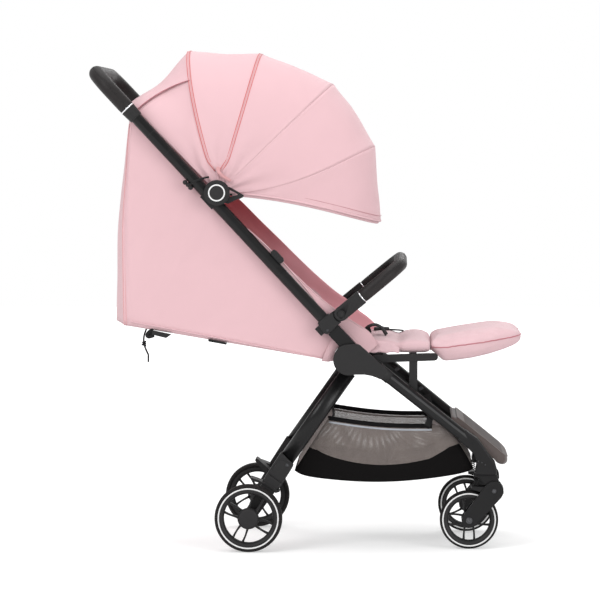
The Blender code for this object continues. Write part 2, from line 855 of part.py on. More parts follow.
def castor_arm(name, side):
    """The sprung fork: two side plates, the saddle that meets the spring, the pivot pin and the axle."""
    middle = side * CASTOR_Y
    outer = ARM_INNER + ARM_T
    near = plate(
        name,
        link_outline(ARM_PIVOT, ARM_TOP_R, FRONT_AXLE, ARM_END_R, 6),
        middle + ARM_INNER,
        middle + outer,
        PLASTIC_BLACK,
    )
    soften(near, 0.0016)
    near = as_mesh(near)
    far = plate(
        name + "_inner",
        link_outline(ARM_PIVOT, ARM_TOP_R, FRONT_AXLE, ARM_END_R, 6),
        middle - outer,
        middle - ARM_INNER,
    )
    cheek_outline = link_outline(
        (CASTOR_X - 0.031, SADDLE_Z), SADDLE_T / 2, (ARM_PIVOT_X - 0.009, ARM_PIVOT_Z), 0.008, 5
    )
    cheeks = [
        plate(f"{name}_cheek_{index}", cheek_outline, middle + low, middle + high)
        for index, (low, high) in enumerate(((ARM_INNER, outer - 0.002), (0.002 - outer, -ARM_INNER)))
    ]
    saddle = plate(
        name + "_saddle",
        box_outline((CASTOR_X - 0.0245, SADDLE_Z), 0.018, SADDLE_T),
        middle - outer + 0.003,
        middle + outer - 0.003,
    )
    pivot_pin = cylinder(
        name + "_pivot_pin",
        (ARM_PIVOT_X, middle - outer + 0.002, ARM_PIVOT_Z),
        (ARM_PIVOT_X, middle + outer - 0.002, ARM_PIVOT_Z),
        ARM_PIVOT_PIN_R,
        sides=12,
    )
    axle = cylinder(
        name + "_axle",
        (FRONT_AXLE[0], middle - outer - 0.002, FRONT_AXLE[1]),
        (FRONT_AXLE[0], middle + outer + 0.002, FRONT_AXLE[1]),
        FRONT_AXLE_R,
        sides=16,
    )
    return smooth(fuse(near, far, *cheeks, saddle, pivot_pin, axle))


def castor_spring(name, side):
    """The coil spring between the swivel block and the arm's saddle."""
    low = SADDLE_Z + SADDLE_T / 2 + SPRING_WIRE + SEAT_GAP
    high = SPRING_SEAT - SPRING_WIRE - SEAT_GAP
    count = SPRING_TURNS * SPRING_STEPS
    points = []
    for step in range(count + 1):
        turn = 2 * pi * step / SPRING_STEPS
        share = step / count
        points.append(
            (
                CASTOR_X - 0.0225 + SPRING_R * cos(turn),
                side * CASTOR_Y + SPRING_R * sin(turn),
                low + (high - low) * share,
            )
        )
    pitch = (high - low) / SPRING_TURNS
    print(f"{name}: least gap between its turns {1000 * (pitch - 2 * SPRING_WIRE):.2f} mm")
    return tube_along(name, points, SPRING_WIRE, STEEL, resolution=1)


# Rear frame
def rear_leg(name, side):
    """The leg tube with the flat eye that turns on the hub's pin."""
    start_x, start_z = rear_point(0.012)
    end_x, end_z = rear_point(REAR_END)
    sleeve_x, sleeve_z = rear_point(REAR_SLEEVE)
    y = side * REAR_TUBE_Y
    knuckle = cylinder(
        name,
        (HUB_X, side * REAR_KNUCKLE_IN, HUB_Z),
        (HUB_X, side * REAR_KNUCKLE_OUT, HUB_Z),
        KNUCKLE_R + 0.001,
        FRAME_BLACK,
        sides=32,
    )
    tube = cylinder(name + "_tube", (start_x, y, start_z), (end_x, y, end_z), REAR_TUBE_R)
    sleeve = cylinder(
        name + "_sleeve",
        (start_x, y, start_z),
        (sleeve_x, y, sleeve_z),
        REAR_KNUCKLE_T / 2 - SEAT_GAP,
    )
    bore = cylinder(
        name + "_bore",
        (HUB_X, side * (REAR_KNUCKLE_IN - 0.01), HUB_Z),
        (HUB_X, side * (REAR_KNUCKLE_OUT + 0.01), HUB_Z),
        HUB_PIN_R + SEAT_GAP,
        sides=20,
    )
    return smooth(carve(fuse(knuckle, tube, sleeve), bore))


def rear_bracket(name, side):
    """The casting on the leg's end, with its flange, the crossbar's socket and the stub axle."""
    inner = side * (REAR_KNUCKLE_IN - 0.002)
    outer = side * (REAR_KNUCKLE_OUT + 0.002)
    axle = REAR_AXLE
    shell = plate(
        name,
        link_outline(
            rear_point(REAR_END - 0.032), REAR_TUBE_R + 0.0035, rear_point(REAR_END + 0.052), BRACKET_END_R
        ),
        inner,
        outer,
        PLASTIC_BLACK,
    )
    soften(shell, 0.0025)
    shell = as_mesh(shell)
    lower = plate(
        name + "_lower",
        link_outline(rear_point(REAR_END + 0.045), 0.019, axle, 0.016),
        side * (REAR_KNUCKLE_IN + 0.004),
        side * (REAR_WHEEL_Y - REAR_WHEEL_HALF - 0.003),
    )
    flange = plate(
        name + "_flange",
        box_outline(rear_point(REAR_END + 0.056), 0.062, 0.004, REAR_LEAN + pi / 2 + radians(6)),
        side * (REAR_KNUCKLE_IN - 0.004),
        side * (REAR_WHEEL_Y - REAR_WHEEL_HALF - 0.001),
    )
    stub = cylinder(
        name + "_axle",
        (axle[0], side * (REAR_KNUCKLE_IN + 0.010), axle[1]),
        (axle[0], side * (REAR_WHEEL_Y + 0.012), axle[1]),
        REAR_AXLE_R,
        sides=16,
    )
    leg_start = rear_point(REAR_END - 0.070)
    leg_stop = rear_point(REAR_END + SEAT_GAP)
    tube = cylinder(
        name + "_socket",
        (leg_start[0], side * REAR_TUBE_Y, leg_start[1]),
        (leg_stop[0], side * REAR_TUBE_Y, leg_stop[1]),
        REAR_TUBE_R + SEAT_GAP,
    )
    return smooth(carve(fuse(shell, lower, flange, stub), tube))


def rear_crossbar():
    half = REAR_KNUCKLE_IN - 0.002 - SEAT_GAP
    return smooth(
        cylinder(
            "rear_crossbar",
            (CROSSBAR_X, -half, CROSSBAR_Z),
            (CROSSBAR_X, half, CROSSBAR_Z),
            CROSSBAR_R,
            FRAME_BLACK,
        )
    )


def brake_pedal():
    """The foot lever that turns about the crossbar."""
    centre = (CROSSBAR_X, CROSSBAR_Z)
    ring = plate("brake_pedal", circle(centre, CROSSBAR_R + 0.004, 20), 0.085, 0.125, PLASTIC_BLACK)
    tip = (CROSSBAR_X - 0.031, CROSSBAR_Z + 0.034)
    lever = plate("brake_pedal_lever", link_outline(centre, 0.008, tip, 0.0035, 6), 0.080, 0.130)
    bore = cylinder(
        "brake_pedal_bore",
        (CROSSBAR_X, 0.07, CROSSBAR_Z),
        (CROSSBAR_X, 0.14, CROSSBAR_Z),
        CROSSBAR_R + SEAT_GAP,
    )
    return smooth(carve(fuse(ring, lever), bore))


# Push frame
def push_tube(name, side):
    y = side * PUSH_TUBE_Y
    knuckle = cylinder(
        name,
        (HUB_X, side * KNUCKLE_IN, HUB_Z),
        (HUB_X, side * KNUCKLE_OUT, HUB_Z),
        KNUCKLE_R,
        FRAME_BLACK,
        sides=32,
    )
    low_x, low_z = push_point(PUSH_TUBE_START)
    top_x, top_z = push_point(PUSH_TUBE_TOP)
    tube = cylinder(name + "_tube", (low_x, y, low_z), (top_x, y, top_z), PUSH_TUBE_R)
    sleeve_middle = push_point((PUSH_TUBE_START + SLEEVE_END) / 2 - 0.004)
    sleeve = plate(
        name + "_sleeve",
        box_outline(sleeve_middle, SLEEVE_END - 0.008, 2 * SLEEVE_R, PUSH_LEAN),
        side * KNUCKLE_IN,
        side * KNUCKLE_OUT,
    )
    bore = cylinder(
        name + "_bore",
        (HUB_X, side * (KNUCKLE_IN - 0.01), HUB_Z),
        (HUB_X, side * (KNUCKLE_OUT + 0.01), HUB_Z),
        HUB_PIN_R + SEAT_GAP,
        sides=20,
    )
    return smooth(carve(fuse(knuckle, tube, sleeve), bore))


def handle_collar(name, side):
    """The plastic collar on the tube's end, which flares to the grip's width."""
    y = side * PUSH_TUBE_Y
    low = Vector((*push_point(PUSH_TUBE_TOP - COLLAR_OVERLAP), 0)).xzy
    top = Vector((*push_point(PUSH_TUBE_TOP - COLLAR_OVERLAP + COLLAR_LENGTH), 0)).xzy
    low.y = y
    top.y = y
    collar = cylinder(name, low, top, PUSH_TUBE_R + 0.0022, PLASTIC_BLACK, 20, COLLAR_R)
    tube_low = Vector((*push_point(PUSH_TUBE_TOP - 0.040), 0)).xzy
    tube_top = Vector((*push_point(PUSH_TUBE_TOP + SEAT_GAP), 0)).xzy
    tube_low.y = y
    tube_top.y = y
    return smooth(carve(collar, cylinder(name + "_socket", tube_low, tube_top, PUSH_TUBE_R + SEAT_GAP)))


def grip_path():
    """The grip's centre line as (distance up the frame, y) points, from the right end to the left."""
    start = PUSH_TUBE_TOP - COLLAR_OVERLAP + COLLAR_LENGTH + SEAT_GAP
    corner_y = PUSH_TUBE_Y - GRIP_CORNER
    corner_along = GRIP_REACH - GRIP_R - GRIP_CORNER
    right = [(start, -PUSH_TUBE_Y), (corner_along - 0.010, -PUSH_TUBE_Y)]
    bend = [(a, y) for y, a in arc((-corner_y, corner_along), GRIP_CORNER, pi, pi / 2, 6)]
    half = right + bend
    return half + [(distance, -y) for distance, y in reversed(half)]


def handle_grip():
    """The U-shaped grip, with the pocket of the fold button."""
    points = []
    for distance, y in grip_path():
        x, z = push_point(distance)
        points.append((x, y, z))
    grip = as_mesh(tube_along("handle_grip", points, GRIP_R, GRIP_BLACK, resolution=3))
    pocket_end = BUTTON_FACE + BUTTON_DEPTH + BUTTON_TRAVEL + SEAT_GAP + 0.001
    pocket = button_shape("handle_grip_pocket", SEAT_GAP, BUTTON_FACE - 0.010, pocket_end)
    return smooth(carve(grip, pocket))


def button_shape(name, gap, low, high, surface=None):
    """A stadium across the grip's bar, from one distance up the push frame to another."""
    radius = BUTTON_WIDTH / 2 + gap
    reach = (BUTTON_LENGTH - BUTTON_WIDTH) / 2
    outline = link_outline((-reach, 0), radius, (reach, 0), radius - 0.0001, 6)
    made = plate(name, outline, 0.0, high - low, surface)
    middle_x, middle_z = push_point((low + high) / 2)
    up_frame = Vector((cos(PUSH_LEAN), 0, sin(PUSH_LEAN)))
    across = Vector((0, 1, 0))
    turn = Matrix((across, up_frame, up_frame.cross(across))).transposed().to_4x4()
    centred = Matrix.Translation((0, -(high - low) / 2, 0)) @ made.matrix_world
    made.data.transform(Matrix.Translation((middle_x, 0, middle_z)) @ turn @ centred)
    made.matrix_world = Matrix.Identity(4)
    if turn.determinant() < 0:
        made.data.flip_normals()
    return made


def fold_button():
    """The button on the inner side of the grip's bar."""
    return smooth(button_shape("fold_button", 0.0, BUTTON_FACE, BUTTON_FACE + BUTTON_DEPTH, PLASTIC_BLACK))


def canopy_bracket(name, side):
    """The bracket round the push tube that carries the canopy's hinge."""
    centre = push_point(HINGE_ALONG)
    inner = side * (PUSH_TUBE_Y - PUSH_TUBE_R - CLAMP_WALL)
    disc_in = side * (PUSH_TUBE_Y + PUSH_TUBE_R - 0.001)
    disc_out = side * (CAP_OUT + 0.001)
    hinge = (HINGE_X, HINGE_Z)
    bracket = plate(name, circle(hinge, HINGE_DISC_R, 20), disc_in, disc_out, PLASTIC_BLACK)
    soften(bracket, 0.002)
    bracket = as_mesh(bracket)
    ring = plate(
        name + "_ring",
        box_outline(centre, 0.036, 2 * PUSH_TUBE_R + 0.0046, PUSH_LEAN),
        inner,
        disc_in + side * 0.002,
    )
    nose = plate(
        name + "_nose",
        link_outline(centre, 0.010, hinge, 0.010, 6),
        inner,
        disc_in + side * 0.002,
    )
    pin = cylinder(
        name + "_pin",
        (HINGE_X, inner + side * 0.004, HINGE_Z),
        (HINGE_X, side * (BOW_FIRST_Y - 4 * BOW_PITCH - BOW_T / 2 - 0.0012), HINGE_Z),
        HINGE_PIN_R,
        sides=12,
    )
    low = push_point(HINGE_ALONG - 0.06)
    high = push_point(HINGE_ALONG + 0.06)
    tube = cylinder(
        name + "_bore",
        (low[0], side * PUSH_TUBE_Y, low[1]),
        (high[0], side * PUSH_TUBE_Y, high[1]),
        PUSH_TUBE_R + SEAT_GAP,
    )
    groove = turned(
        name + "_groove",
        [(0.0186, 0.002), (0.0186, -0.0008), (0.0150, -0.0008), (0.0150, 0.002)],
        20,
        ring=True,
    )
    groove.matrix_world = Matrix.Translation((HINGE_X, disc_out, HINGE_Z)) @ Matrix.Rotation(
        -side * pi / 2, 4, "X"
    )
    return smooth(carve(fuse(bracket, ring, nose, pin), tube, groove))


# Canopy
def arch(angle, reach, half_width, share, wide=ARCH_WIDE, tall=ARCH_TALL):
    """A point of an arch in the plane at an angle about the canopy's hinge."""
    turn = pi * share
    lean = cos(turn)
    y = -half_width * (1 if lean > 0 else -1) * abs(lean) ** wide
    radius = reach * max(sin(turn), 0.0) ** tall
    return HINGE_X + radius * cos(angle), y, HINGE_Z + radius * sin(angle)


def arch_share(reach, radius, tall=ARCH_TALL):
    """The share of an arch at which it is a radius away from the hinge."""
    return asin((radius / reach) ** (1 / tall)) / pi


def canopy_bow(index):
    """A flat strip bent to an arch, with an eye on the hinge's pin at each end."""
    angle = BOW_ANGLES[index]
    reach = BOW_REACHES[index]
    half_width = BOW_FIRST_Y - index * BOW_PITCH
    name = f"canopy_bow_{index + 1}"
    first = arch_share(reach, 0.0065)
    steps = 14
    points = []
    for step in range(steps + 1):
        share = first + (1 - 2 * first) * step / steps
        x, y, _ = arch(0.0, reach, half_width, share)
        points.append((x - HINGE_X, y, 0))
    bow = tube_along(name, points, BOW_T / 2, FRAME_BLACK, 0, (BOW_WIDTH - BOW_T) / 2)
    bow.matrix_world = Matrix.Translation((HINGE_X, 0, HINGE_Z)) @ Matrix.Rotation(-angle, 4, "Y")
    bpy.context.view_layer.update()
    bow = as_mesh(bow)
    for label, side in SIDES:
        low = side * (half_width - BOW_T / 2)
        high = side * (half_width + BOW_T / 2)
        fuse(bow, plate(f"{name}_eye_{label}", circle((HINGE_X, HINGE_Z), BOW_EYE_R, 12), low, high))
    for label, side in SIDES:
        bore = cylinder(
            f"{name}_bore_{label}",
            (HINGE_X, side * (half_width - 0.006), HINGE_Z),
            (HINGE_X, side * (half_width + 0.006), HINGE_Z),
            HINGE_PIN_R + SEAT_GAP + 0.0001,
            sides=12,
        )
        carve(bow, bore)
    return smooth(bow)


def bow_line(index):
    """A bow as (angle, reach, half width, how wide and how tall its arch is)."""
    return BOW_ANGLES[index], BOW_REACHES[index], BOW_FIRST_Y - index * BOW_PITCH, ARCH_WIDE, ARCH_TALL


def canopy_panel(name, start, end, columns=16, rows=4):
    """Cloth from one arch line to another, sagging between them."""
    lift = BOW_T / 2 + SEAT_GAP + CLOTH_T
    grid = []
    for row in range(rows + 1):
        share = row / rows
        eased = share * share * (3 - 2 * share)
        angle = start[0] + (end[0] - start[0]) * share
        reach, half_width, wide, tall = [a + (b - a) * eased for a, b in zip(start[1:], end[1:])]
        reach += lift - CANOPY_SAG * sin(pi * share) ** 2
        half_width += lift
        first = arch_share(reach, PANEL_START, tall)
        line = []
        for column in range(columns + 1):
            place = first + (1 - 2 * first) * column / columns
            line.append(arch(angle, reach, half_width, place, wide, tall))
        grid.append(line)
    return smooth(sheet(name, grid, CLOTH_T, PINK), 60)


# Bumper bar
def bumper_clamp(name, side):
    """The clamp round the push tube with the lug that the bumper bar turns on."""
    centre = push_point(CLAMP_ALONG)
    inner = side * (PUSH_TUBE_Y - PUSH_TUBE_R - CLAMP_WALL)
    outer = side * (PUSH_TUBE_Y + PUSH_TUBE_R + 0.0030)
    lug_out = side * (PUSH_TUBE_Y - 0.0035)
    body = plate(
        name,
        box_outline(centre, 0.031, 2 * PUSH_TUBE_R + 0.006, PUSH_LEAN),
        inner,
        outer,
        PLASTIC_BLACK,
    )
    soften(body, 0.0015)
    body = as_mesh(body)
    lug = plate(
        name + "_lug",
        link_outline(centre, 0.0140, (BUMPER_X, BUMPER_Z), 0.0135),
        inner,
        lug_out,
    )
    tail = push_point(CLAMP_ALONG, PUSH_OFFSET - 0.021)
    screw_lug = plate(
        name + "_screw_lug",
        box_outline(tail, 0.020, 0.014, PUSH_LEAN),
        side * (PUSH_TUBE_Y - 0.009),
        side * (PUSH_TUBE_Y + 0.009),
    )
    pin = cylinder(
        name + "_pin",
        (BUMPER_X, lug_out - side * 0.002, BUMPER_Z),
        (BUMPER_X, lug_out + side * 0.0065, BUMPER_Z),
        BUMPER_PIN_R,
        sides=16,
    )
    low = push_point(CLAMP_ALONG - 0.05)
    high = push_point(CLAMP_ALONG + 0.05)
    tube = cylinder(
        name + "_bore",
        (low[0], side * PUSH_TUBE_Y, low[1]),
        (high[0], side * PUSH_TUBE_Y, high[1]),
        PUSH_TUBE_R + SEAT_GAP,
    )
    return smooth(carve(fuse(body, lug, screw_lug, pin), tube))


def bumper_point(distance):
    return BUMPER_X + distance * cos(BUMPER_LEAN), BUMPER_Z + distance * sin(BUMPER_LEAN)


def bumper_bar():
    """The padded bar across the front of the seat, with an eye at each end."""
    corner_y = BUMPER_ARM_Y - BUMPER_CORNER
    corner_at = BUMPER_LENGTH - BUMPER_CORNER
    right = [(0.022, -BUMPER_ARM_Y), (0.052, -BUMPER_ARM_Y), (corner_at - 0.012, -BUMPER_ARM_Y)]
    bend = [(a, y) for y, a in arc((-corner_y, corner_at), BUMPER_CORNER, pi, pi / 2, 6)]
    half = right + bend
    path = half + [(distance, -y) for distance, y in reversed(half)]
    points = []
    for distance, y in path:
        x, z = bumper_point(distance)
        points.append((x, y, z))
    bar = as_mesh(tube_along("bumper_bar", points, BUMPER_R, GRIP_BLACK, resolution=2))
    for label, side in SIDES:
        eye = plate(
            "bumper_bar_eye_" + label,
            link_outline((BUMPER_X, BUMPER_Z), BUMPER_EYE_R, bumper_point(0.040), BUMPER_R),
            side * BUMPER_EYE_IN,
            side * BUMPER_EYE_OUT,
        )
        fuse(bar, eye)
    for label, side in SIDES:
        trim = plate(
            "bumper_bar_trim_" + label,
            link_outline((BUMPER_X, BUMPER_Z), 0.030, bumper_point(0.030), 0.020),
            side * (BUMPER_EYE_IN - 0.030),
            side * BUMPER_EYE_IN,
        )
        carve(bar, trim)
    for label, side in SIDES:
        pin_bore = cylinder(
            "bumper_bar_bore_" + label,
            (BUMPER_X, side * (BUMPER_EYE_IN - 0.01), BUMPER_Z),
            (BUMPER_X, side * (BUMPER_EYE_IN + 0.0075), BUMPER_Z),
            BUMPER_PIN_R + RUN_GAP,
            sides=16,
        )
        button_bore = cylinder(
            "bumper_bar_pocket_" + label,
            (BUMPER_X, side * (BUMPER_EYE_OUT - BUMPER_BUTTON_T + 0.001), BUMPER_Z),
            (BUMPER_X, side * (BUMPER_EYE_OUT + 0.01), BUMPER_Z),
            BUMPER_BUTTON_R + SEAT_GAP,
            sides=20,
        )
        carve(bar, pin_bore, button_bore)
    return smooth(bar)


def bumper_button(name, side):
    """The round button in the bumper's eye, with room behind it to be pressed."""
    return smooth(
        cylinder(
            name,
            (BUMPER_X, side * (BUMPER_EYE_OUT - BUMPER_BUTTON_T + 0.0038), BUMPER_Z),
            (BUMPER_X, side * (BUMPER_EYE_OUT + 0.0010), BUMPER_Z),
            BUMPER_BUTTON_R,
            PLASTIC_BLACK,
            sides=20,
        )
    )


# Soft goods
def pad_ring(x, half, low, high, crown, drawn):
    """One cross-section of a pad: a flat bottom, drawn-in sides and a crowned top."""
    height = high - low
    ring = [
        (x, -half + drawn, low),
        (x, half - drawn, low),
        (x, half - drawn * 0.15, low + height * 0.30),
        (x, half - drawn * 0.15, low + height * 0.62),
        (x, half - drawn, high - crown * 0.40),
    ]
    for share in (0.62, 0.25, -0.25, -0.62):
        ring.append((x, half * share, high + crown * (0.5 - abs(share)) * 0.8))
    ring += [
        (x, -half + drawn, high - crown * 0.40),
        (x, -half + drawn * 0.15, low + height * 0.62),
        (x, -half + drawn * 0.15, low + height * 0.30),
    ]
    return ring


def padded_slab(name, stations, half, crown, surface, place=None):
    """A pad through stations of (x, low, high, share of the full width and crown)."""
    rings = [pad_ring(x, half * width, low, high, crown * width, 0.010) for x, low, high, width in stations]
    made = loft(name, rings, surface)
    if place:
        made.data.transform(place)
        if place.determinant() < 0:
            made.data.flip_normals()
    return smooth(made, 60)


def seat_pad():
    """The seat cushion, with a stitched channel across it."""
    low = SEAT_LOW
    top = SEAT_TOP - 0.004
    middle = SEAT_CHANNEL
    stations = [
        (SEAT_REAR, low + 0.006, top - 0.008, 0.94),
        (SEAT_REAR + 0.008, low, top - 0.002, 1.0),
        ((SEAT_REAR + middle) / 2, low, top, 1.0),
        (middle - 0.008, low, top - 0.001, 1.0),
        (middle, low + 0.001, top - 0.006, 0.985),
        (middle + 0.008, low, top - 0.001, 1.0),
        ((SEAT_FRONT + middle) / 2, low, top, 1.0),
        (SEAT_FRONT - 0.008, low, top - 0.002, 1.0),
        (SEAT_FRONT, low + 0.006, top - 0.008, 0.975),
    ]
    return padded_slab("seat_pad", stations, SEAT_HALF, SEAT_CROWN, PINK)


def leg_rest():
    """The padded leg rest, thick at the hinge and thin at its rounded end."""
    x = REST_HINGE_X
    z = REST_HINGE_Z
    stations = [
        (x - 0.0085, z + 0.0120, z + 0.0265, 0.93),
        (x + 0.001, z + 0.0085, z + 0.0330, 0.98),
        (x + 0.020, z - 0.0120, z + 0.0450, 1.0),
        (x + 0.045, z - 0.0090, z + 0.0550, 1.0),
        (x + 0.080, z - 0.0030, z + 0.0610, 1.0),
        (x + 0.115, z + 0.0050, z + 0.0640, 0.995),
        (x + 0.150, z + 0.0150, z + 0.0650, 0.965),
        (x + 0.172, z + 0.0240, z + 0.0610, 0.89),
        (x + 0.184, z + 0.0320, z + 0.0540, 0.78),
        (x + REST_LENGTH - 0.008, z + 0.0380, z + 0.0470, 0.66),
    ]
    tab_end = (x + 0.0240, z + 0.0050)
    pad = padded_slab("leg_rest", stations, REST_HALF, 0.006, PINK)
    for label, side in SIDES:
        reach = (RAIL_INNER_Y - 0.002, RAIL_INNER_Y - 0.020)
        tab = plate(
            "leg_rest_tab_" + label,
            link_outline((x, z), 0.0065, tab_end, 0.0075, 5),
            side * reach[0],
            side * reach[1],
        )
        fuse(pad, tab)
    for label, side in SIDES:
        bore = cylinder(
            "leg_rest_bore_" + label,
            (x, side * (RAIL_INNER_Y + 0.002), z),
            (x, side * (RAIL_INNER_Y - 0.014), z),
            REST_PIN_R + RUN_GAP + 0.0001,
            sides=12,
        )
        carve(pad, bore)
    return pad


def back_frame():
    """The matrix from the backrest's own frame, X along it from the pivot, to the stroller's."""
    return Matrix.Translation((BACK_PIVOT_X, 0, BACK_PIVOT_Z)) @ Matrix.Rotation(-BACK_LEAN, 4, "Y") @ (
        Matrix.Diagonal((1, 1, -1, 1))
    )


def backrest():
    """The backrest lying down on the bag's floor, with two stitched channels."""
    low = -BACK_UNDER
    stations = [
        (0.004, low + 0.012, BACK_RISE - 0.006, 0.955),
        (0.012, low, BACK_RISE - 0.002, 1.0),
        (0.120, low, BACK_RISE, 1.0),
        (0.128, low, BACK_RISE - 0.005, 0.99),
        (0.136, low, BACK_RISE, 1.0),
        (0.255, low, BACK_RISE, 1.0),
        (0.263, low, BACK_RISE - 0.005, 0.99),
        (0.271, low, BACK_RISE, 1.0),
        (BACK_LENGTH - 0.012, low, BACK_RISE - 0.002, 0.98),
        (BACK_LENGTH, low + 0.012, BACK_RISE - 0.006, 0.90),
    ]
    return padded_slab("backrest", stations, BACK_HALF, BACK_CROWN, PINK, back_frame())


def strap(name, points, width, thickness, surface):
    """A flat strap through points of its middle line, each with a direction across it."""
    rings = []
    for place, across, up in points:
        place = Vector(place)
        across = Vector(across).normalized() * width / 2
        up = Vector(up).normalized() * thickness / 2
        rings.append([place + across + up, place - across + up, place - across - up, place + across - up])
    return loft(name, rings, surface)


def harness_straps():
    """Both shoulder straps on the backrest, joined at the top."""
    turn = back_frame()
    lift = BACK_RISE + 0.2 * BACK_CROWN + SEAT_GAP + STRAP_T / 2
    rings = []
    right = [(0.060, -0.050), (0.120, -0.048), (0.190, -0.046), (0.250, -0.042), (0.290, -0.030)]
    route = right + [(0.300, 0.0)] + [(x, -y) for x, y in reversed(right)]
    for index, (x, y) in enumerate(route):
        before = Vector(route[max(index - 1, 0)])
        after = Vector(route[min(index + 1, len(route) - 1)])
        run = (after - before).normalized()
        across = Vector((-run.y, run.x, 0))
        out = turn.to_3x3() @ Vector((0, 0, 1))
        rings.append((turn @ Vector((x, y, lift)), turn.to_3x3() @ across, out))
    return strap("harness_straps", rings, STRAP_WIDTH, STRAP_T, WEBBING)


def harness_buckle():
    """The crotch strap and its buckle, lying back on the seat."""
    top = SEAT_TOP - 0.004 + 0.2 * SEAT_CROWN + SEAT_GAP
    buckle = block(
        "harness_buckle",
        (SEAT_REAR + 0.016, -0.021, top),
        (SEAT_REAR + 0.050, 0.021, top + 0.012),
        PLASTIC_BLACK,
    )
    soften(buckle, 0.003)
    buckle = as_mesh(buckle)
    tongue = block(
        "harness_buckle_strap",
        (SEAT_REAR + 0.046, -0.0125, top),
        (SEAT_REAR + 0.082, 0.0125, top + 0.003),
    )
    return smooth(fuse(buckle, tongue))


def back_bag():
    """The cloth bag behind and below the push tubes that the backrest lies in."""
    steps = 14
    corner_share = 6 / 14
    grid = []
    for step in range(steps + 1):
        share = step / steps
        wing = sin(pi * min(max((share - 0.42) / 0.56, 0.0), 1.0)) ** 0.6
        distance = BAG_TOP_ALONG + (BAG_LOW_ALONG - BAG_TOP_ALONG) * share
        front = push_point(distance, PUSH_OFFSET - BAG_EDGE_DROP + BAG_WING * wing)
        if share < corner_share:
            part = share / corner_share
            x = BAG_TOP[0] + (BAG_CORNER[0] - BAG_TOP[0]) * part - BAG_BULGE * sin(pi * part)
            z = BAG_TOP[1] + (BAG_CORNER[1] - BAG_TOP[1]) * part
            rounding = BAG_ROUND * (0.35 + 0.65 * part)
        else:
            part = (share - corner_share) / (1 - corner_share)
            x = BAG_CORNER[0] + (BAG_FRONT[0] - BAG_CORNER[0]) * part
            z = BAG_CORNER[1] + (BAG_FRONT[1] - BAG_CORNER[1]) * part
            rounding = BAG_ROUND * max(1 - 8 * part, 0.0)
        fold = 0.006 * abs(sin(6 * pi * share))
        outer_half = BAG_HALF - 0.006
        line = []
        for reach in (0.0, 0.25, 0.5, 0.75, 0.94):
            y = BAG_HALF + (outer_half - BAG_HALF) * reach - fold * sin(pi * reach)
            line.append((front[0] + (x - front[0]) * reach, -y, front[1] + (z - front[1]) * reach))
        for width in BAG_FLAT:
            line.append((x - rounding * (1 - width**2), -outer_half * width, z))
        grid.append(line + [(a, -b, c) for a, b, c in reversed(line)])
    return smooth(sheet("back_bag", grid, CLOTH_T, PINK, 1.0), 60)


def basket_rows():
    """The basket's cross-sections from the rear to the front, each from its right edge to its left."""
    columns = 8
    grid = []
    for column in range(columns + 1):
        share = column / columns
        top_x = BASKET_TOP_REAR[0] + (BASKET_TOP_FRONT[0] - BASKET_TOP_REAR[0]) * share
        top_z = BASKET_TOP_REAR[1] + (BASKET_TOP_FRONT[1] - BASKET_TOP_REAR[1]) * share
        low_x = BASKET_LOW_REAR[0] + (BASKET_LOW_FRONT[0] - BASKET_LOW_REAR[0]) * share
        low_z = BASKET_LOW_REAR[1] + (BASKET_LOW_FRONT[1] - BASKET_LOW_REAR[1]) * share
        sag = BASKET_SAG * sin(pi * share)
        line = []
        for part in BASKET_SIDE_PARTS:
            x = top_x + (low_x - top_x) * part
            z = top_z + (low_z - top_z) * part - sag * part
            line.append((x, -BASKET_HALF + 0.006 * part, z))
        for part in BASKET_FLOOR_PARTS:
            line.append((low_x, -BASKET_HALF * part, low_z - sag - FLOOR_DIP))
        grid.append(line + [(x, -y, z) for x, y, z in reversed(line)])
    return grid


def basket():
    """The mesh basket under the seat, open at the top, with two tabs that hold it to the front legs."""
    wall = sheet("basket", basket_rows(), BASKET_T, MESH_FABRIC, 1.0, len(BASKET_SIDE_PARTS) - 1)
    reach = (BASKET_TOP_FRONT[0] - 0.008 - leg_point(0.0)[0]) / cos(LEG_LEAN)
    tab_x, tab_z = leg_point(reach)
    tab_root = (BASKET_TOP_FRONT[0] - 0.012, BASKET_TOP_FRONT[1] - 0.010)
    for label, side in SIDES:
        tab = plate(
            "basket_tab_" + label,
            link_outline((tab_x, tab_z), 0.006, tab_root, 0.008),
            side * (BASKET_HALF - 0.001),
            side * (leg_y(reach) - LUG_STOP - 0.0007),
        )
        fuse(wall, tab)
    return smooth(wall, 60)


def recline_cord():
    """The free end of the cord that draws the backrest up, below the bag's rear corner."""
    drop = [0.0, 0.008, 0.016, 0.024, 0.032, 0.040, 0.048, 0.056, 0.064, 0.072, 0.080]
    start_x = BAG_CORNER[0] + 0.042
    floor_z = BAG_CORNER[1] + 0.042 * sin(BACK_LEAN) / cos(BACK_LEAN) - CLOTH_T - 2.5 * SEAT_GAP
    points = []
    for length in drop:
        x = start_x - 0.010 * sin(pi * min(length / 0.064, 1.0))
        points.append((x, CORD_Y, floor_z - length))
    return tube_along("recline_cord", points, CORD_R, WEBBING, resolution=2)


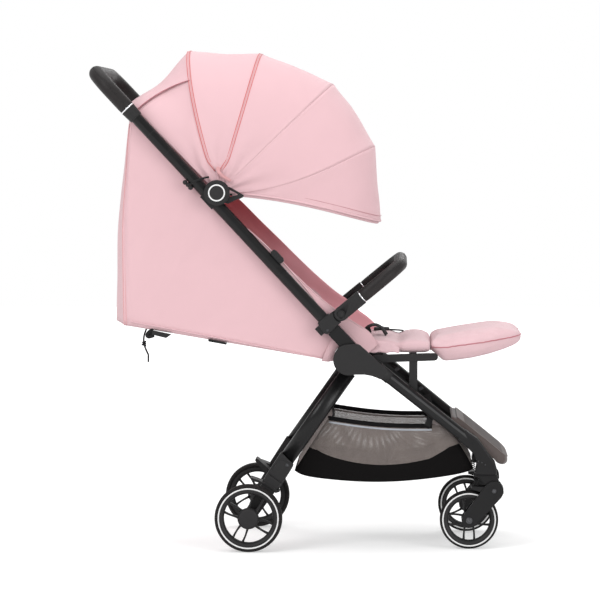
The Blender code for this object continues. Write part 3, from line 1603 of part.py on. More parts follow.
# Assembly
def build_frame():
    root = joint_empty("front_frame", (HUB_X, 0, HUB_Z))
    push = joint_empty("push_frame", (HUB_X, 0, HUB_Z), root)
    rear = joint_empty("rear_frame", (HUB_X, 0, HUB_Z), root)
    bumper = joint_empty("bumper", (BUMPER_X, 0, BUMPER_Z), push)
    for label, side in SIDES:
        carried_by(
            root,
            hub_housing(f"hub_housing_{label}", side),
            front_leg(f"front_leg_{label}", side),
            front_foot(f"front_foot_{label}", side),
            seat_rail(f"seat_rail_{label}", side),
        )
        carried_by(rear, rear_leg(f"rear_leg_{label}", side), rear_bracket(f"rear_bracket_{label}", side))
        carried_by(
            push,
            push_tube(f"push_tube_{label}", side),
            handle_collar(f"handle_collar_{label}", side),
            canopy_bracket(f"canopy_bracket_{label}", side),
            bumper_clamp(f"bumper_clamp_{label}", side),
        )
        button_place = (BUMPER_X, side * CAP_OUT, BUMPER_Z)
        button_axis = joint_empty(f"bumper_button_axis_{label}", button_place, bumper)
        carried_by(button_axis, bumper_button(f"bumper_button_{label}", side))
    carried_by(root, footrest(), basket(), seat_pad(), harness_buckle())
    carried_by(push, handle_grip(), back_bag(), recline_cord())
    carried_by(bumper, bumper_bar())
    carried_by(rear, rear_crossbar())
    pedal = joint_empty("brake_axis", (CROSSBAR_X, 0, CROSSBAR_Z), rear)
    carried_by(pedal, brake_pedal())
    grip_x, grip_z = push_point(GRIP_REACH - 2 * GRIP_R)
    press = joint_empty("fold_button_axis", (grip_x, 0, grip_z), push)
    carried_by(press, fold_button())
    rest = joint_empty("leg_rest_axis", (REST_HINGE_X, 0, REST_HINGE_Z), root)
    carried_by(rest, leg_rest())
    back = joint_empty("recline_axis", (BACK_PIVOT_X, 0, BACK_PIVOT_Z), push)
    carried_by(back, backrest(), harness_straps())
    return root, push, rear


def build_canopy(push):
    flap = (FLAP_ANGLE, FLAP_REACH, BOW_FIRST_Y, FLAP_WIDE, FLAP_TALL)
    carried_by(push, canopy_bow(0), canopy_panel("canopy_rear_flap", flap, bow_line(0)))
    carrier = push
    for index in range(1, len(BOW_ANGLES)):
        carrier = joint_empty(f"canopy_axis_{index + 1}", (HINGE_X, 0, HINGE_Z), carrier)
        panel = canopy_panel(f"canopy_panel_{index}", bow_line(index - 1), bow_line(index))
        carried_by(carrier, canopy_bow(index), panel)


def build_wheels(root, rear):
    rear_centre = rim(
        "rear_rim_right", REAR_RIM_R, REAR_RIM_OPEN, REAR_WHEEL_HALF, REAR_HUB_R, REAR_WHEEL_HALF - 0.002,
        REAR_AXLE_R + SEAT_GAP, radians(62), 0.003,
    )
    front_centre = rim(
        "front_rim_right", FRONT_RIM_R, FRONT_RIM_OPEN, FRONT_WHEEL_HALF, FRONT_HUB_R,
        FRONT_WHEEL_HALF - 0.001, FRONT_AXLE_R + SEAT_GAP, radians(90), 0.0,
    )
    rear_tyre = tyre("rear_tyre_right", REAR_WHEEL_R, REAR_RIM_R + SEAT_GAP, REAR_WHEEL_HALF)
    front_tyre = tyre("front_tyre_right", FRONT_WHEEL_R, FRONT_RIM_R + SEAT_GAP, FRONT_WHEEL_HALF)
    for label, side in SIDES:
        place = Vector((REAR_AXLE[0], side * REAR_WHEEL_Y, REAR_AXLE[1]))
        axle = joint_empty(f"rear_axle_{label}", place, rear)
        pair = []
        for piece, name in ((rear_centre, f"rear_rim_{label}"), (rear_tyre, f"rear_tyre_{label}")):
            pair.append(piece if side < 0 else placed(name, piece.data, None))
        carried_by(axle, *[stand_up(piece, side, place) for piece in pair])
        swivel = joint_empty(f"castor_axis_{label}", (CASTOR_X, side * CASTOR_Y, CASTOR_TOP), root)
        carried_by(swivel, castor_swivel(f"castor_swivel_{label}", side))
        arm = joint_empty(f"arm_axis_{label}", (ARM_PIVOT_X, side * CASTOR_Y, ARM_PIVOT_Z), swivel)
        spring = castor_spring(f"castor_spring_{label}", side)
        carried_by(arm, castor_arm(f"castor_arm_{label}", side), spring)
        place = Vector((FRONT_AXLE[0], side * CASTOR_Y, FRONT_AXLE[1]))
        axle = joint_empty(f"front_axle_{label}", place, arm)
        pair = []
        for piece, name in ((front_centre, f"front_rim_{label}"), (front_tyre, f"front_tyre_{label}")):
            pair.append(piece if side < 0 else placed(name, piece.data, None))
        carried_by(axle, *[stand_up(piece, side, place) for piece in pair])


def main():
    root, push, rear = build_frame()
    build_canopy(push)
    build_wheels(root, rear)


main()
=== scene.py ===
"""The stroller's looks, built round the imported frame."""

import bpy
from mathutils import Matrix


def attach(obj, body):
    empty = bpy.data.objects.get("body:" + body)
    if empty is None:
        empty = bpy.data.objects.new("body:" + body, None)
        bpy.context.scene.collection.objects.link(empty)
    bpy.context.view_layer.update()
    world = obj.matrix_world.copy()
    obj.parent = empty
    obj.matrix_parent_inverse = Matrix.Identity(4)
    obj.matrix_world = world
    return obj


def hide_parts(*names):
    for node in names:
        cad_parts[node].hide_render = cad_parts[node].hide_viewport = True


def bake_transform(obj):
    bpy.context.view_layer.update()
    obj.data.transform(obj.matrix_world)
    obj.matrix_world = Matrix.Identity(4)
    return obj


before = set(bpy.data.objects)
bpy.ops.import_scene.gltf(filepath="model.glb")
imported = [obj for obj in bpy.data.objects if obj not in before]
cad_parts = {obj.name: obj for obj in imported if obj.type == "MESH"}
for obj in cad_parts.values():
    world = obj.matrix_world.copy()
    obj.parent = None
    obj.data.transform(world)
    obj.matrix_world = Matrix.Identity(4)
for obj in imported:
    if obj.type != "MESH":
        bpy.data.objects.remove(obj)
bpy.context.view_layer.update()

from math import asin, atan2, cos, exp, hypot, pi, radians, sin

import bmesh
import bpy
from mathutils import Matrix, Vector, noise
from mathutils.bvhtree import BVHTree

SIDES = (("right", -1), ("left", 1))

# Sizes repeated from the solids, in metres
HUB_X, HUB_Z = 0.0928, 0.41
PUSH_LEAN, LEG_LEAN, REAR_LEAN = radians(133.0), radians(-38.7), radians(-125.2)
PUSH_OFFSET, LEG_OFFSET, REAR_OFFSET = 0.019, 0.023, 0.016
PUSH_Y, TUBE_R = 0.199, 0.0125


def along(lean, offset, distance, shift=0.0):
    """A point at a distance from the hub down a line that passes it at an offset."""
    x = HUB_X + distance * cos(lean) + (offset + shift) * sin(lean)
    z = HUB_Z + distance * sin(lean) - (offset + shift) * cos(lean)
    return x, z


def push_point(distance, offset=PUSH_OFFSET):
    return along(PUSH_LEAN, offset, distance)


def leg_point(distance, rise=0.0):
    return along(LEG_LEAN, -LEG_OFFSET, distance, -rise)


def rear_point(distance, shift=0.0):
    return along(REAR_LEAN, -REAR_OFFSET, distance, shift)


HINGE = push_point(0.449, 0.0365)
BUMPER, BUMPER_LEAN, BUMPER_Y, BUMPER_EYE = push_point(0.082, 0.0544), radians(39.5), 0.2055, 0.0565
CLOTH = 0.0012


def at(place, y=0.0):
    """The point over an (x, z) place at a Y."""
    return place[0], y, place[1]


def fan(first, step, count):
    """Angles in radians, from a first one and a step in degrees."""
    return [radians(first + step * k) for k in range(count)]


def bumper_point(ahead, over):
    """A point beside the bumper bar, from its pivot along the arm and across it."""
    c, s = cos(BUMPER_LEAN), sin(BUMPER_LEAN)
    return BUMPER[0] + ahead * c - over * s, BUMPER[1] + ahead * s + over * c


# Camera and lamps
def add(name, data):
    made = bpy.data.objects.new(name, data)
    bpy.context.scene.collection.objects.link(made)
    return made


camera = add("camera", bpy.data.cameras.new("camera"))
camera.data.lens = 186.35
camera.data.sensor_width = 36
camera.data.clip_end = 60
camera.location = (0.1997, -6.7808, 0.8917)
yaw, pitch = radians(-1.834), radians(-3.095)
sight = Vector((sin(yaw) * cos(pitch), cos(yaw) * cos(pitch), sin(pitch)))
camera.rotation_euler = sight.to_track_quat("-Z", "Y").to_euler()
bpy.context.scene.camera = camera
bpy.context.scene.view_settings.view_transform = "Standard"


def softbox(name, place, target, size, watts):
    data = bpy.data.lights.new(name, "AREA")
    data.shape = "RECTANGLE"
    data.size, data.size_y = size
    data.energy = watts
    lamp = add(name, data)
    lamp.location = place
    lamp.rotation_euler = (Vector(target) - Vector(place)).to_track_quat("-Z", "Y").to_euler()


softbox("key_light", (-2.6, -3.4, 3.2), (0.0, 0.0, 0.6), (2.4, 2.4), 98)
softbox("fill_light", (3.2, -3.6, 1.6), (0.0, 0.0, 0.5), (2.4, 2.4), 78)
softbox("top_light", (0.0, 0.4, 4.2), (0.0, 0.0, 0.0), (3.2, 3.2), 70)
softbox("back_light", (1.5, 4.0, 2.8), (0.0, 0.0, 0.6), (2.6, 2.0), 42)
AMBIENT = 0.56


class Nodes:
    """A node tree, written as calls."""

    def __init__(self, tree):
        self.tree = tree

    def link(self, target, value):
        """Links a socket to another one, or sets its value."""
        if isinstance(value, bpy.types.NodeSocket):
            self.tree.links.new(value, target)
        else:
            target.default_value = value

    def node(self, kind, inputs=None, **settings):
        made = self.tree.nodes.new("ShaderNode" + kind)
        for key, value in settings.items():
            setattr(made, key, value)
        for key, value in (inputs or {}).items():
            self.link(made.inputs[key], value)
        return made

    def math(self, operation, a, b=0.0):
        return self.node("Math", {0: a, 1: b}, operation=operation).outputs[0]

    def add(self, a, b):
        return self.math("ADD", a, b)

    def times(self, a, b):
        return self.math("MULTIPLY", a, b)

    def wave(self, value, turn):
        return self.math("SINE", self.times(value, turn))

    def spread(self, value, low, high, start=0.0, end=1.0):
        return self.node("MapRange", {0: value, 1: start, 2: end, 3: low, 4: high}).outputs[0]


class Graph(Nodes):
    """A material's node tree, with the coordinates that its textures share."""

    def __init__(self, name, coords="Object", **plain):
        self.material = bpy.data.materials.new(name)
        self.material.use_nodes = True
        super().__init__(self.material.node_tree)
        self.shader = self.tree.nodes["Principled BSDF"]
        self.coords = self.node("TexCoord").outputs[coords]
        for socket, value in plain.items():
            self.shader.inputs[socket.replace("_", " ")].default_value = value

    def parts(self):
        return self.node("SeparateXYZ", {0: self.coords}).outputs

    def noise(self, scale, detail=3.0, distortion=0.0):
        inputs = {"Vector": self.coords, "Scale": scale, "Detail": detail, "Distortion": distortion}
        return self.node("TexNoise", inputs).outputs[0]

    def cells(self, scale, **settings):
        return self.node("TexVoronoi", {"Vector": self.coords, "Scale": scale}, **settings).outputs["Distance"]

    def mix(self, share, *colours):
        made = self.node("Mix", {0: share}, data_type="RGBA")
        for index, value in zip((6, 7), colours):
            self.link(made.inputs[index], value if isinstance(value, bpy.types.NodeSocket) else (*value, 1.0))
        return made.outputs[2]

    def tone(self, share, colour, darker, lighter):
        """A colour between a darker and a lighter shade of itself."""
        return self.mix(share, [c * darker for c in colour], [min(c * lighter, 1.0) for c in colour])

    def bump(self, height, strength, distance, under=None):
        inputs = {"Height": height, "Strength": strength, "Distance": distance}
        if under:
            inputs["Normal"] = under
        return self.node("Bump", inputs).outputs[0]

    def finish(self, shade, rough, normal):
        for socket, value in (("Base Color", shade), ("Roughness", rough), ("Normal", normal)):
            self.link(self.shader.inputs[socket], value)
        return self.material


def cloth(name, colour, pitch=0.0011, uv=False, sheen=0.25, contrast=0.1, deep=None, specular=0.28):
    """Plain-woven cloth: threads over and under, slubs, and the slow mottling of a stretched panel."""
    g = Graph(name, "UV" if uv else "Object", Sheen_Weight=sheen, Sheen_Roughness=0.45, Specular_IOR_Level=specular)
    x, y, z = g.parts()
    across, up = (x, y) if uv else (g.add(x, g.times(y, 0.72)), g.add(z, g.times(y, -0.66)))
    weave = g.times(g.wave(across, 2 * pi / pitch), g.wave(up, 2 * pi / pitch))
    slub, mottle = g.noise(700.0, 2.0), g.noise(9.0, 4.0, 0.6)
    share = g.add(g.spread(weave, -0.1, 0.1, -1.0, 1.0), g.times(slub, 0.45))
    shade = g.tone(g.add(share, g.times(mottle, 0.5)), colour, 1 - contrast, 1 + contrast * 0.5)
    if deep:
        # Painted shade: the cloth turns darker and redder with height, as if under the canopy's shade
        shade = g.mix(g.spread(z, 0.0, 1.0, 0.6, 0.74), shade, deep)
    crease = g.bump(g.noise(34.0, 5.0, 0.9), 0.22, 0.0016)
    return g.finish(shade, g.spread(slub, 0.78, 0.92), g.bump(g.add(weave, slub), 0.55, 0.00016, crease))


def moulded(name, colour, rough, grain=0.0009, depth=0.00008, contrast=0.25, specular=0.5):
    """Moulded plastic or powder coat: a fine grain, uneven gloss and faint handling marks."""
    g = Graph(name, Specular_IOR_Level=specular)
    marks, fine = g.noise(22.0, 6.0, 1.2), g.noise(260.0, 3.0)
    shade = g.tone(g.add(g.times(marks, 0.7), g.times(fine, 0.3)), colour, 1 - contrast, 1 + contrast)
    normal = g.bump(g.add(g.cells(1.0 / grain), g.times(fine, 0.5)), 0.5, depth)
    return g.finish(shade, g.spread(marks, *rough, 0.3, 0.7), normal)


def leather(name, colour):
    """The grips' cover: pebbled grain with softer creases between the pebbles."""
    g = Graph(name, Sheen_Weight=0.05, Specular_IOR_Level=0.3)
    wear = g.noise(16.0, 4.0)
    grain = g.add(g.cells(620.0, feature="SMOOTH_F1"), g.times(g.noise(150.0, 5.0, 1.0), 0.8))
    return g.finish(g.tone(wear, colour, 0.7, 1.35), g.spread(wear, 0.46, 0.64), g.bump(grain, 0.65, 0.0002))


def woven_strap(name, colour, pitch=0.0016):
    """Webbing: ribs across, a herringbone of fine threads along."""
    g = Graph(name, Sheen_Weight=0.06, Specular_IOR_Level=0.25)
    x, y, z = g.parts()
    weave = g.times(g.wave(g.add(x, z), 2 * pi / pitch), g.wave(y, 2 * pi / (pitch * 0.6)))
    fuzz = g.noise(420.0, 3.0)
    share = g.add(g.spread(weave, 0.1, 0.5, -1.0, 1.0), g.times(fuzz, 0.5))
    return g.finish(g.tone(share, colour, 0.6, 1.7), g.spread(fuzz, 0.7, 0.9), g.bump(weave, 0.6, 0.00022))


def knit(name, colour, hole=0.003):
    """Open warp-knitted mesh: light comes through its rows of small holes."""
    g = Graph(name, "UV", Sheen_Weight=0.2, Specular_IOR_Level=0.25)
    x, y, _ = g.parts()
    lattice = g.times(g.wave(g.add(x, y), 2 * pi / hole), g.wave(g.math("SUBTRACT", x, y), 2 * pi / hole))
    dense = g.noise(26.0, 3.0, 0.8)
    g.link(g.shader.inputs["Alpha"], g.spread(lattice, 1.0, 0.06, 0.1, 0.8))
    return g.finish(g.tone(dense, colour, 0.75, 1.3), g.spread(dense, 0.75, 0.9), g.bump(lattice, 0.5, 0.0004))


def polished(name, colour, rough=(0.1, 0.24)):
    """Bright trim with fine wiping marks."""
    g = Graph(name, Metallic=1.0)
    marks = g.noise(90.0, 6.0, 2.0)
    return g.finish(g.tone(marks, colour, 0.9, 1.05), g.spread(marks, *rough), g.bump(marks, 0.15, 0.00005))


PINK_RGB = (0.765, 0.5, 0.532)
PINK = cloth("pink_cloth", PINK_RGB)
PINK_UV = cloth("pink_cloth_panels", PINK_RGB, uv=True)
PAD = cloth("pink_pad_cloth", (0.73, 0.5, 0.53), pitch=0.0009, sheen=0.3, contrast=0.16)
SALMON = cloth("salmon_zip_tape", (0.7, 0.2, 0.2), pitch=0.0008, contrast=0.2)
SALMON_PALE = cloth("salmon_binding", (0.76, 0.4, 0.41), pitch=0.0008, contrast=0.15)
SEAM = cloth("seam_thread", (0.52, 0.2, 0.23), pitch=0.0006, contrast=0.2)
TUBE = moulded("powder_coated_tube", (0.0055, 0.0055, 0.0058), (0.26, 0.36), 0.0007, 0.00004, specular=0.26)
PLASTIC = moulded("grained_plastic", (0.013, 0.0125, 0.013), (0.44, 0.58), 0.0008, 0.00009, specular=0.3)
TEXTURED = moulded("textured_inlay", (0.017, 0.016, 0.017), (0.55, 0.7), 0.0016, 0.0003, contrast=0.4, specular=0.3)
DARK = moulded("smooth_black_plastic", (0.007, 0.0068, 0.0072), (0.36, 0.48), 0.0008, 0.00006, specular=0.24)
BOARD = moulded("footrest_plastic", (0.092, 0.072, 0.067), (0.42, 0.56), 0.001, 0.0001, specular=0.3)
TYRE = moulded("foam_tyre", (0.011, 0.01, 0.01), (0.62, 0.8), 0.0011, 0.00014, contrast=0.35, specular=0.22)
WHITE = moulded("white_trim", (0.8, 0.8, 0.8), (0.3, 0.42), 0.0012, 0.00002, contrast=0.04)
CHROME = polished("chrome_trim", (0.82, 0.82, 0.84))
SCREW = polished("dark_screw", (0.09, 0.09, 0.095), (0.3, 0.5))
GRIP = leather("grip_leather", (0.0105, 0.0082, 0.0082))
WEB = woven_strap("black_webbing", (0.009, 0.009, 0.0095))
MESH = knit("basket_mesh", (0.19, 0.162, 0.15))
# A copy of the pink cloth with painted shade, for the faces towards the seat
PINK_PAINTED_SHADE = cloth("pink_cloth_painted_shade", (0.88, 0.42, 0.46), sheen=0.15, contrast=0.12, deep=(0.88, 0.21, 0.23))
BASE = cloth("basket_base_cloth", (0.003, 0.0024, 0.0025), pitch=0.001, sheen=0.0, contrast=0.35, specular=0.14)
BINDING = cloth("black_binding", (0.004, 0.0036, 0.004), pitch=0.0012, sheen=0.0, contrast=0.35, specular=0.16)
REFLECTIVE = moulded("reflective_strip", (0.36, 0.38, 0.42), (0.25, 0.4), 0.0012, 0.0001)
TREAD = moulded("anti_slip_field", (0.085, 0.073, 0.07), (0.6, 0.75), 0.0034, 0.0006, contrast=0.5, specular=0.25)


def make_stage():
    """A floor that shows white to the camera and takes the shadow, in a world that shows white behind it."""
    g = Graph("studio_paper", Roughness=0.9, Base_Color=(0.8, 0.8, 0.8, 1.0))
    path = g.node("LightPath").outputs
    seen = g.math("MAXIMUM", path["Is Glossy Ray"], path["Is Transmission Ray"])
    seen = g.math("MAXIMUM", path["Is Camera Ray"], seen)
    away = g.node("VectorMath", {0: g.coords}, operation="LENGTH").outputs["Value"]
    lift = g.node("Emission", {"Color": (1, 1, 1, 1), "Strength": g.spread(away, 0.42, 1.0, 2.2, 6.0)})
    paper = g.node("BsdfDiffuse", {"Color": (0.72, 0.72, 0.72, 1.0)})
    both = g.node("AddShader", {0: lift.outputs[0], 1: paper.outputs[0]})
    last = g.node("MixShader", {0: seen, 1: g.shader.outputs[0], 2: both.outputs[0]})
    g.link(g.tree.nodes["Material Output"].inputs[0], last.outputs[0])
    data = bpy.data.meshes.new("studio_floor")
    data.from_pydata([(x, y, 0.0) for y in (-9.0, 9.0) for x in (-9.0, 9.0)], [], [(0, 1, 3, 2)])
    data.materials.append(g.material)
    floor = add("studio_floor", data)
    floor.location.z = -0.0002
    world = bpy.data.worlds.new("studio")
    bpy.context.scene.world = world
    world.use_nodes = True
    w = Nodes(world.node_tree)
    ray = w.node("LightPath").outputs
    seen = w.math("MAXIMUM", ray["Is Camera Ray"], ray["Is Transmission Ray"])
    ground = w.tree.nodes["Background"].inputs
    w.link(ground["Strength"], w.spread(seen, AMBIENT, 1.0))
    w.link(ground["Color"], (1.0, 1.0, 1.0, 1.0))


make_stage()


# Modelling helpers
def dress(made, body=None, node=None, slot=None):
    """Sets the body that a piece rides and the solid that it replaces; its slot is not used."""
    if body:
        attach(made, body)
    if node:
        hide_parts(node)
    return made


def strips(rings, count, ring=True, closed=False):
    """Faces between rings of count points: each ring is round or open, and so is their row."""
    faces = []
    for i in range(rings if closed else rings - 1):
        n = (i + 1) % rings
        for j in range(count if ring else count - 1):
            k = (j + 1) % count
            faces.append((i * count + j, i * count + k, n * count + k, n * count + j))
    return faces


def piece(name, points, faces, *surfaces):
    data = bpy.data.meshes.new(name)
    data.from_pydata([tuple(p) for p in points], [], faces)
    for surface in surfaces:
        data.materials.append(surface)
    data.validate()
    for face in data.polygons:
        face.use_smooth = True
    return add(name, data)


def tidy(obj, merge=1e-6):
    """Joins doubled points and turns every face outwards."""
    shape = bmesh.new()
    shape.from_mesh(obj.data)
    bmesh.ops.remove_doubles(shape, verts=shape.verts, dist=merge)
    bmesh.ops.recalc_face_normals(shape, faces=shape.faces)
    shape.to_mesh(obj.data)
    shape.free()
    for face in obj.data.polygons:
        face.use_smooth = True
    return obj


def baked(obj):
    """Applies every modifier, so that the mesh is final."""
    graph = bpy.context.evaluated_depsgraph_get()
    data = bpy.data.meshes.new_from_object(obj.evaluated_get(graph), depsgraph=graph)
    obj.modifiers.clear()
    obj.data = data
    return obj


def bevel(obj, width, segments=2, angle=35):
    rounding = obj.modifiers.new("rounded", "BEVEL")
    rounding.width = width
    rounding.segments = segments
    rounding.limit_method = "ANGLE"
    rounding.angle_limit = radians(angle)
    rounding.harden_normals = True
    return obj


def grid(name, rows, *surfaces, thickness=CLOTH, inward=True, two_sided=False, body=None, node=None):
    """Cloth through rows of points, with a UV map in metres, thickened away from its outer face."""
    count = len(rows[0])
    made = piece(name, [p for row in rows for p in row], strips(len(rows), count, ring=False), *surfaces)
    down = [0.0]
    middle = count // 2
    for first, second in zip(rows, rows[1:]):
        down.append(down[-1] + (Vector(second[middle]) - Vector(first[middle])).length)
    over = []
    for row in rows:
        run = [0.0]
        for first, second in zip(row, row[1:]):
            run.append(run[-1] + (Vector(second) - Vector(first)).length)
        over.append([r - run[middle] for r in run])
    layer = made.data.uv_layers.new(name="cloth")
    for loop in made.data.loops:
        i, j = divmod(loop.vertex_index, count)
        layer.data[loop.index].uv = (over[i][j], down[i])
    wall = made.modifiers.new("cloth", "SOLIDIFY")
    wall.thickness = thickness
    wall.offset = -1.0 if inward else 1.0
    wall.use_even_offset = True
    wall.material_offset = 1 if two_sided else 0
    return dress(baked(made), body, node)


def frames(path, up=None):
    """A tangent, side and up direction at each point of a path."""
    path = [Vector(p) for p in path]
    made = []
    last = None
    for i, p in enumerate(path):
        ahead = (path[min(i + 1, len(path) - 1)] - path[max(i - 1, 0)]).normalized()
        if up is not None:
            over = Vector(up[i] if isinstance(up, list) else up)
        elif last is None:
            over = Vector((0, 0, 1)) if abs(ahead.z) < 0.9 else Vector((1, 0, 0))
        else:
            over = last
        over = (over - over.dot(ahead) * ahead).normalized()
        last = over
        made.append((ahead, ahead.cross(over), over))
    return path, made


def sweep(name, path, section, surface, up=None, sizes=None, **worn):
    """A section of (side, up) offsets carried along a path, scaled by sizes where given."""
    path, turns = frames(path, up)
    count = len(section)
    points = []
    for i, (p, (_, side, over)) in enumerate(zip(path, turns)):
        size = sizes[i] if sizes else 1.0
        points += [p + side * (a * size) + over * (b * size) for a, b in section]
    ends = [tuple(range(count))[::-1], tuple(range((len(path) - 1) * count, len(path) * count))]
    return dress(tidy(piece(name, points, strips(len(path), count) + ends, surface), 1e-7), **worn)


def round_section(a, b=None, sides=16, power=1.0):
    """A circle, an oval or, with a power below 1, a rounded rectangle."""
    b = b or a
    made = []
    for k in range(sides):
        turn = 2 * pi * k / sides
        c, s = cos(turn), sin(turn)
        made.append((a * abs(c) ** power * (1 if c >= 0 else -1), b * abs(s) ** power * (1 if s >= 0 else -1)))
    return made


def tube(name, path, radius, surface, sides=16, **worn):
    return sweep(name, path, round_section(radius, sides=sides), surface, **worn)


def flat_section(width, thickness):
    """A strap's section, its edges rounded off."""
    w, t = width / 2, thickness / 2
    return [(-w, -t * 0.4), (-w + t, -t), (0, -t), (w - t, -t), (w, -t * 0.4), (w, t * 0.4), (w - t, t), (0, t),
        (-w + t, t), (-w, t * 0.4)]


def smooth_path(points, steps=8, closed=False):
    """A Catmull-Rom curve through points."""
    points = [Vector(p) for p in points]
    made = []
    count = len(points)
    for i in range(count if closed else count - 1):
        if closed:
            a, b, c, d = [points[(i + k) % count] for k in (-1, 0, 1, 2)]
        else:
            a, b, c, d = points[max(i - 1, 0)], points[i], points[i + 1], points[min(i + 2, count - 1)]
        for step in range(steps):
            t = step / steps
            bent = (2 * a - 5 * b + 4 * c - d) * t * t + (3 * b - 3 * c + d - a) * t ** 3
            made.append(0.5 * (2 * b + (c - a) * t + bent))
    if not closed:
        made.append(points[-1])
    return made


def lathe(name, profile, centre, side, surface, steps=96, ring=True, **worn):
    """A profile of (radius, outboard height) points turned about Y."""
    points = []
    for k in range(steps):
        turn = 2 * pi * k / steps
        points += [(centre[0] + r * cos(turn), centre[1] + side * h, centre[2] + r * sin(turn)) for r, h in profile]
    faces = strips(steps, len(profile), ring, closed=True)
    return dress(tidy(piece(name, points, faces, surface), 1e-7), **worn)


def prism(count):
    """The faces between two rings of count points, with both ends."""
    return [tuple(range(count)), tuple(range(count, 2 * count))[::-1]] + strips(2, count)


def slab(name, outline, y_from, y_to, surface, round_off=0.0008, **worn):
    """An (x, z) outline between two Y planes, with its edges rounded."""
    points = [(x, y, z) for y in (y_from, y_to) for x, z in outline]
    made = tidy(piece(name, points, prism(len(outline)), surface), 1e-7)
    if round_off:
        baked(bevel(made, round_off))
    return dress(made, **worn)


def joined(name, pieces, **worn):
    """Several meshes as one piece."""
    shape = bmesh.new()
    surfaces = []
    for part in pieces:
        start = len(shape.faces)
        part.data.transform(part.matrix_world)
        shape.from_mesh(part.data)
        shape.faces.ensure_lookup_table()
        surface = part.data.materials[0]
        if surface not in surfaces:
            surfaces.append(surface)
        for face in shape.faces[start:]:
            face.material_index = surfaces.index(surface)
    data = bpy.data.meshes.new(name)
    shape.to_mesh(data)
    shape.free()
    for surface in surfaces:
        data.materials.append(surface)
    for part in pieces:
        bpy.data.objects.remove(part)
    return dress(add(name, data), **worn)


def cut(obj, tool):
    """Takes one closed mesh out of another."""
    step = obj.modifiers.new("cut", "BOOLEAN")
    step.operation = "DIFFERENCE"
    step.solver = "EXACT"
    step.object = tool
    baked(obj)
    bpy.data.objects.remove(tool)
    return obj


def band(name, place, lean, radius, length, surface, body, y):
    """A short band round a tube that leans in the XZ plane."""
    ahead, middle = Vector((cos(lean), 0, sin(lean))), Vector(at(place, y))
    path = [middle + ahead * length * s for s in (-0.5, -0.42, 0.42, 0.5)]
    sizes = [0.94, 1.0, 1.0, 0.94]
    return tube(name, path, radius, surface, 40, up=Vector((0, 1, 0)), sizes=sizes, body=body)


def rod(name, radius, low, high, place, y, side, surface, steps):
    """A closed round bar along Y, between two outboard heights."""
    profile = [(0.0, high), (radius, high), (radius, low), (0.0, low)]
    return lathe(name, profile, at(place, y), side, surface, steps, ring=False)


def screw(name, place, y, side, radius, body):
    """A sunk screw head in its socket, facing outboard."""
    profile = [(0.0, 0.0002), (radius * 0.3, 0.0002), (radius * 0.34, 0.0007), (radius * 0.62, 0.0008),
        (radius * 0.68, -0.0002)]
    profile += [(radius * 0.84, -0.0002), (radius * 0.9, 0.0006), (radius, 0.0004), (radius, -0.0008), (0.0, -0.0008)]
    return lathe(name, profile, at(place, y), side, SCREW, 28, body=body, ring=False)


def area_of(rows):
    """The area of a sheet through rows of points."""
    total = 0.0
    for first, second in zip(rows, rows[1:]):
        for a, b, c, d in zip(first, first[1:], second[1:], second):
            a, b, c, d = Vector(a), Vector(b), Vector(c), Vector(d)
            total += ((b - a).cross(c - a).length + (c - a).cross(d - a).length) / 2
    return total


def run_of(line):
    return sum((Vector(b) - Vector(a)).length for a, b in zip(line, line[1:]))


def declare_sheet(obj, rows):
    """Works out the flat size that a cloth piece's rows of points give, but keeps it nowhere."""
    area = area_of(rows)
    width = max(run_of(row) for row in rows)
    length = max(run_of([row[j] for row in rows]) for j in range(0, len(rows[0]), 4))
    width = max(width, area / length)
    return obj


# Recline cord: below the bag's rear corner, knotted near its end
BAG_FRONT, BAG_CORNER, BAG_TOP = (HUB_X - 0.055, 0.4115), (HUB_X - 0.476, 0.487), (HUB_X - 0.4615, 0.947)
BACK_LEAN = atan2(BAG_CORNER[1] - BAG_FRONT[1], BAG_CORNER[0] - BAG_FRONT[0])


CORD_R = 0.0019


def recline_cord():
    start_x = BAG_CORNER[0] + 0.042
    floor_z = BAG_CORNER[1] + 0.042 * sin(BACK_LEAN) / cos(BACK_LEAN) - 0.0025 - 0.00075
    route = []
    for step in range(31):
        drop = 0.08 * step / 30
        route.append((start_x - 0.01 * sin(pi * min(drop / 0.064, 1.0)), -0.11, floor_z - drop))
    cord = tube("recline_cord", route, CORD_R, WEB, 12, body="push_frame", node="recline_cord")
    middle = Vector(route[15])
    turns = []
    for step in range(61):
        turn = 4 * pi * step / 60
        reach = 0.0032 + 0.0006 * sin(turn * 0.5)
        turns.append(middle + Vector((reach * cos(turn), reach * sin(turn), -0.0045 + 0.009 * step / 60)))
    knot = tube("recline_cord_knot", turns, CORD_R, WEB, 10, body="push_frame")


recline_cord()


# Canopy
BOW_ANGLES = (103.0, 74.0, 43.7, 16.3, -10.6)
BOW_REACHES = (0.3065, 0.3045, 0.3305, 0.3415, 0.346)
BOW_BODIES = ("push_frame", "canopy_2", "canopy_3", "canopy_4", "canopy_5")
BOW_HALVES = [0.18 - 0.004 * k for k in range(5)]
WIDE, TALL = 0.62, 0.88
LIFT = 0.0045
FLAP_LINE = (135.0, 0.266, 0.18, 0.3, 0.42)


def seam_drift(index, ratio):
    """How far a seam strays from its bow's own plane, in degrees, at a share of its reach."""
    ratio = min(ratio, 1.0)
    meet = exp(-((ratio - 0.12) / 0.065) ** 2)
    first, second = 4.0 * (1 - ratio ** 2) - 16.0 * meet, -1.5 * (1 - ratio) + 12.0 * meet
    return (first, second, 0.0, -20.0 * (1 - ratio) ** 1.35, 9.0 * (1 - ratio) ** 1.3, 0.0)[index]


def arch(angle, reach, half, share, wide=WIDE, tall=TALL, drift=None):
    turn = pi * share
    lean = cos(turn)
    y = -half * (1 if lean > 0 else -1) * abs(lean) ** wide
    ratio = max(sin(turn), 0.0) ** tall
    radius = reach * ratio
    a = radians(angle + (drift(ratio) if drift else 0.0))
    return Vector((HINGE[0] + radius * cos(a), y, HINGE[1] + radius * sin(a)))


def arch_share(reach, radius, tall=TALL):
    return asin(min((radius / reach) ** (1 / tall), 1.0)) / pi


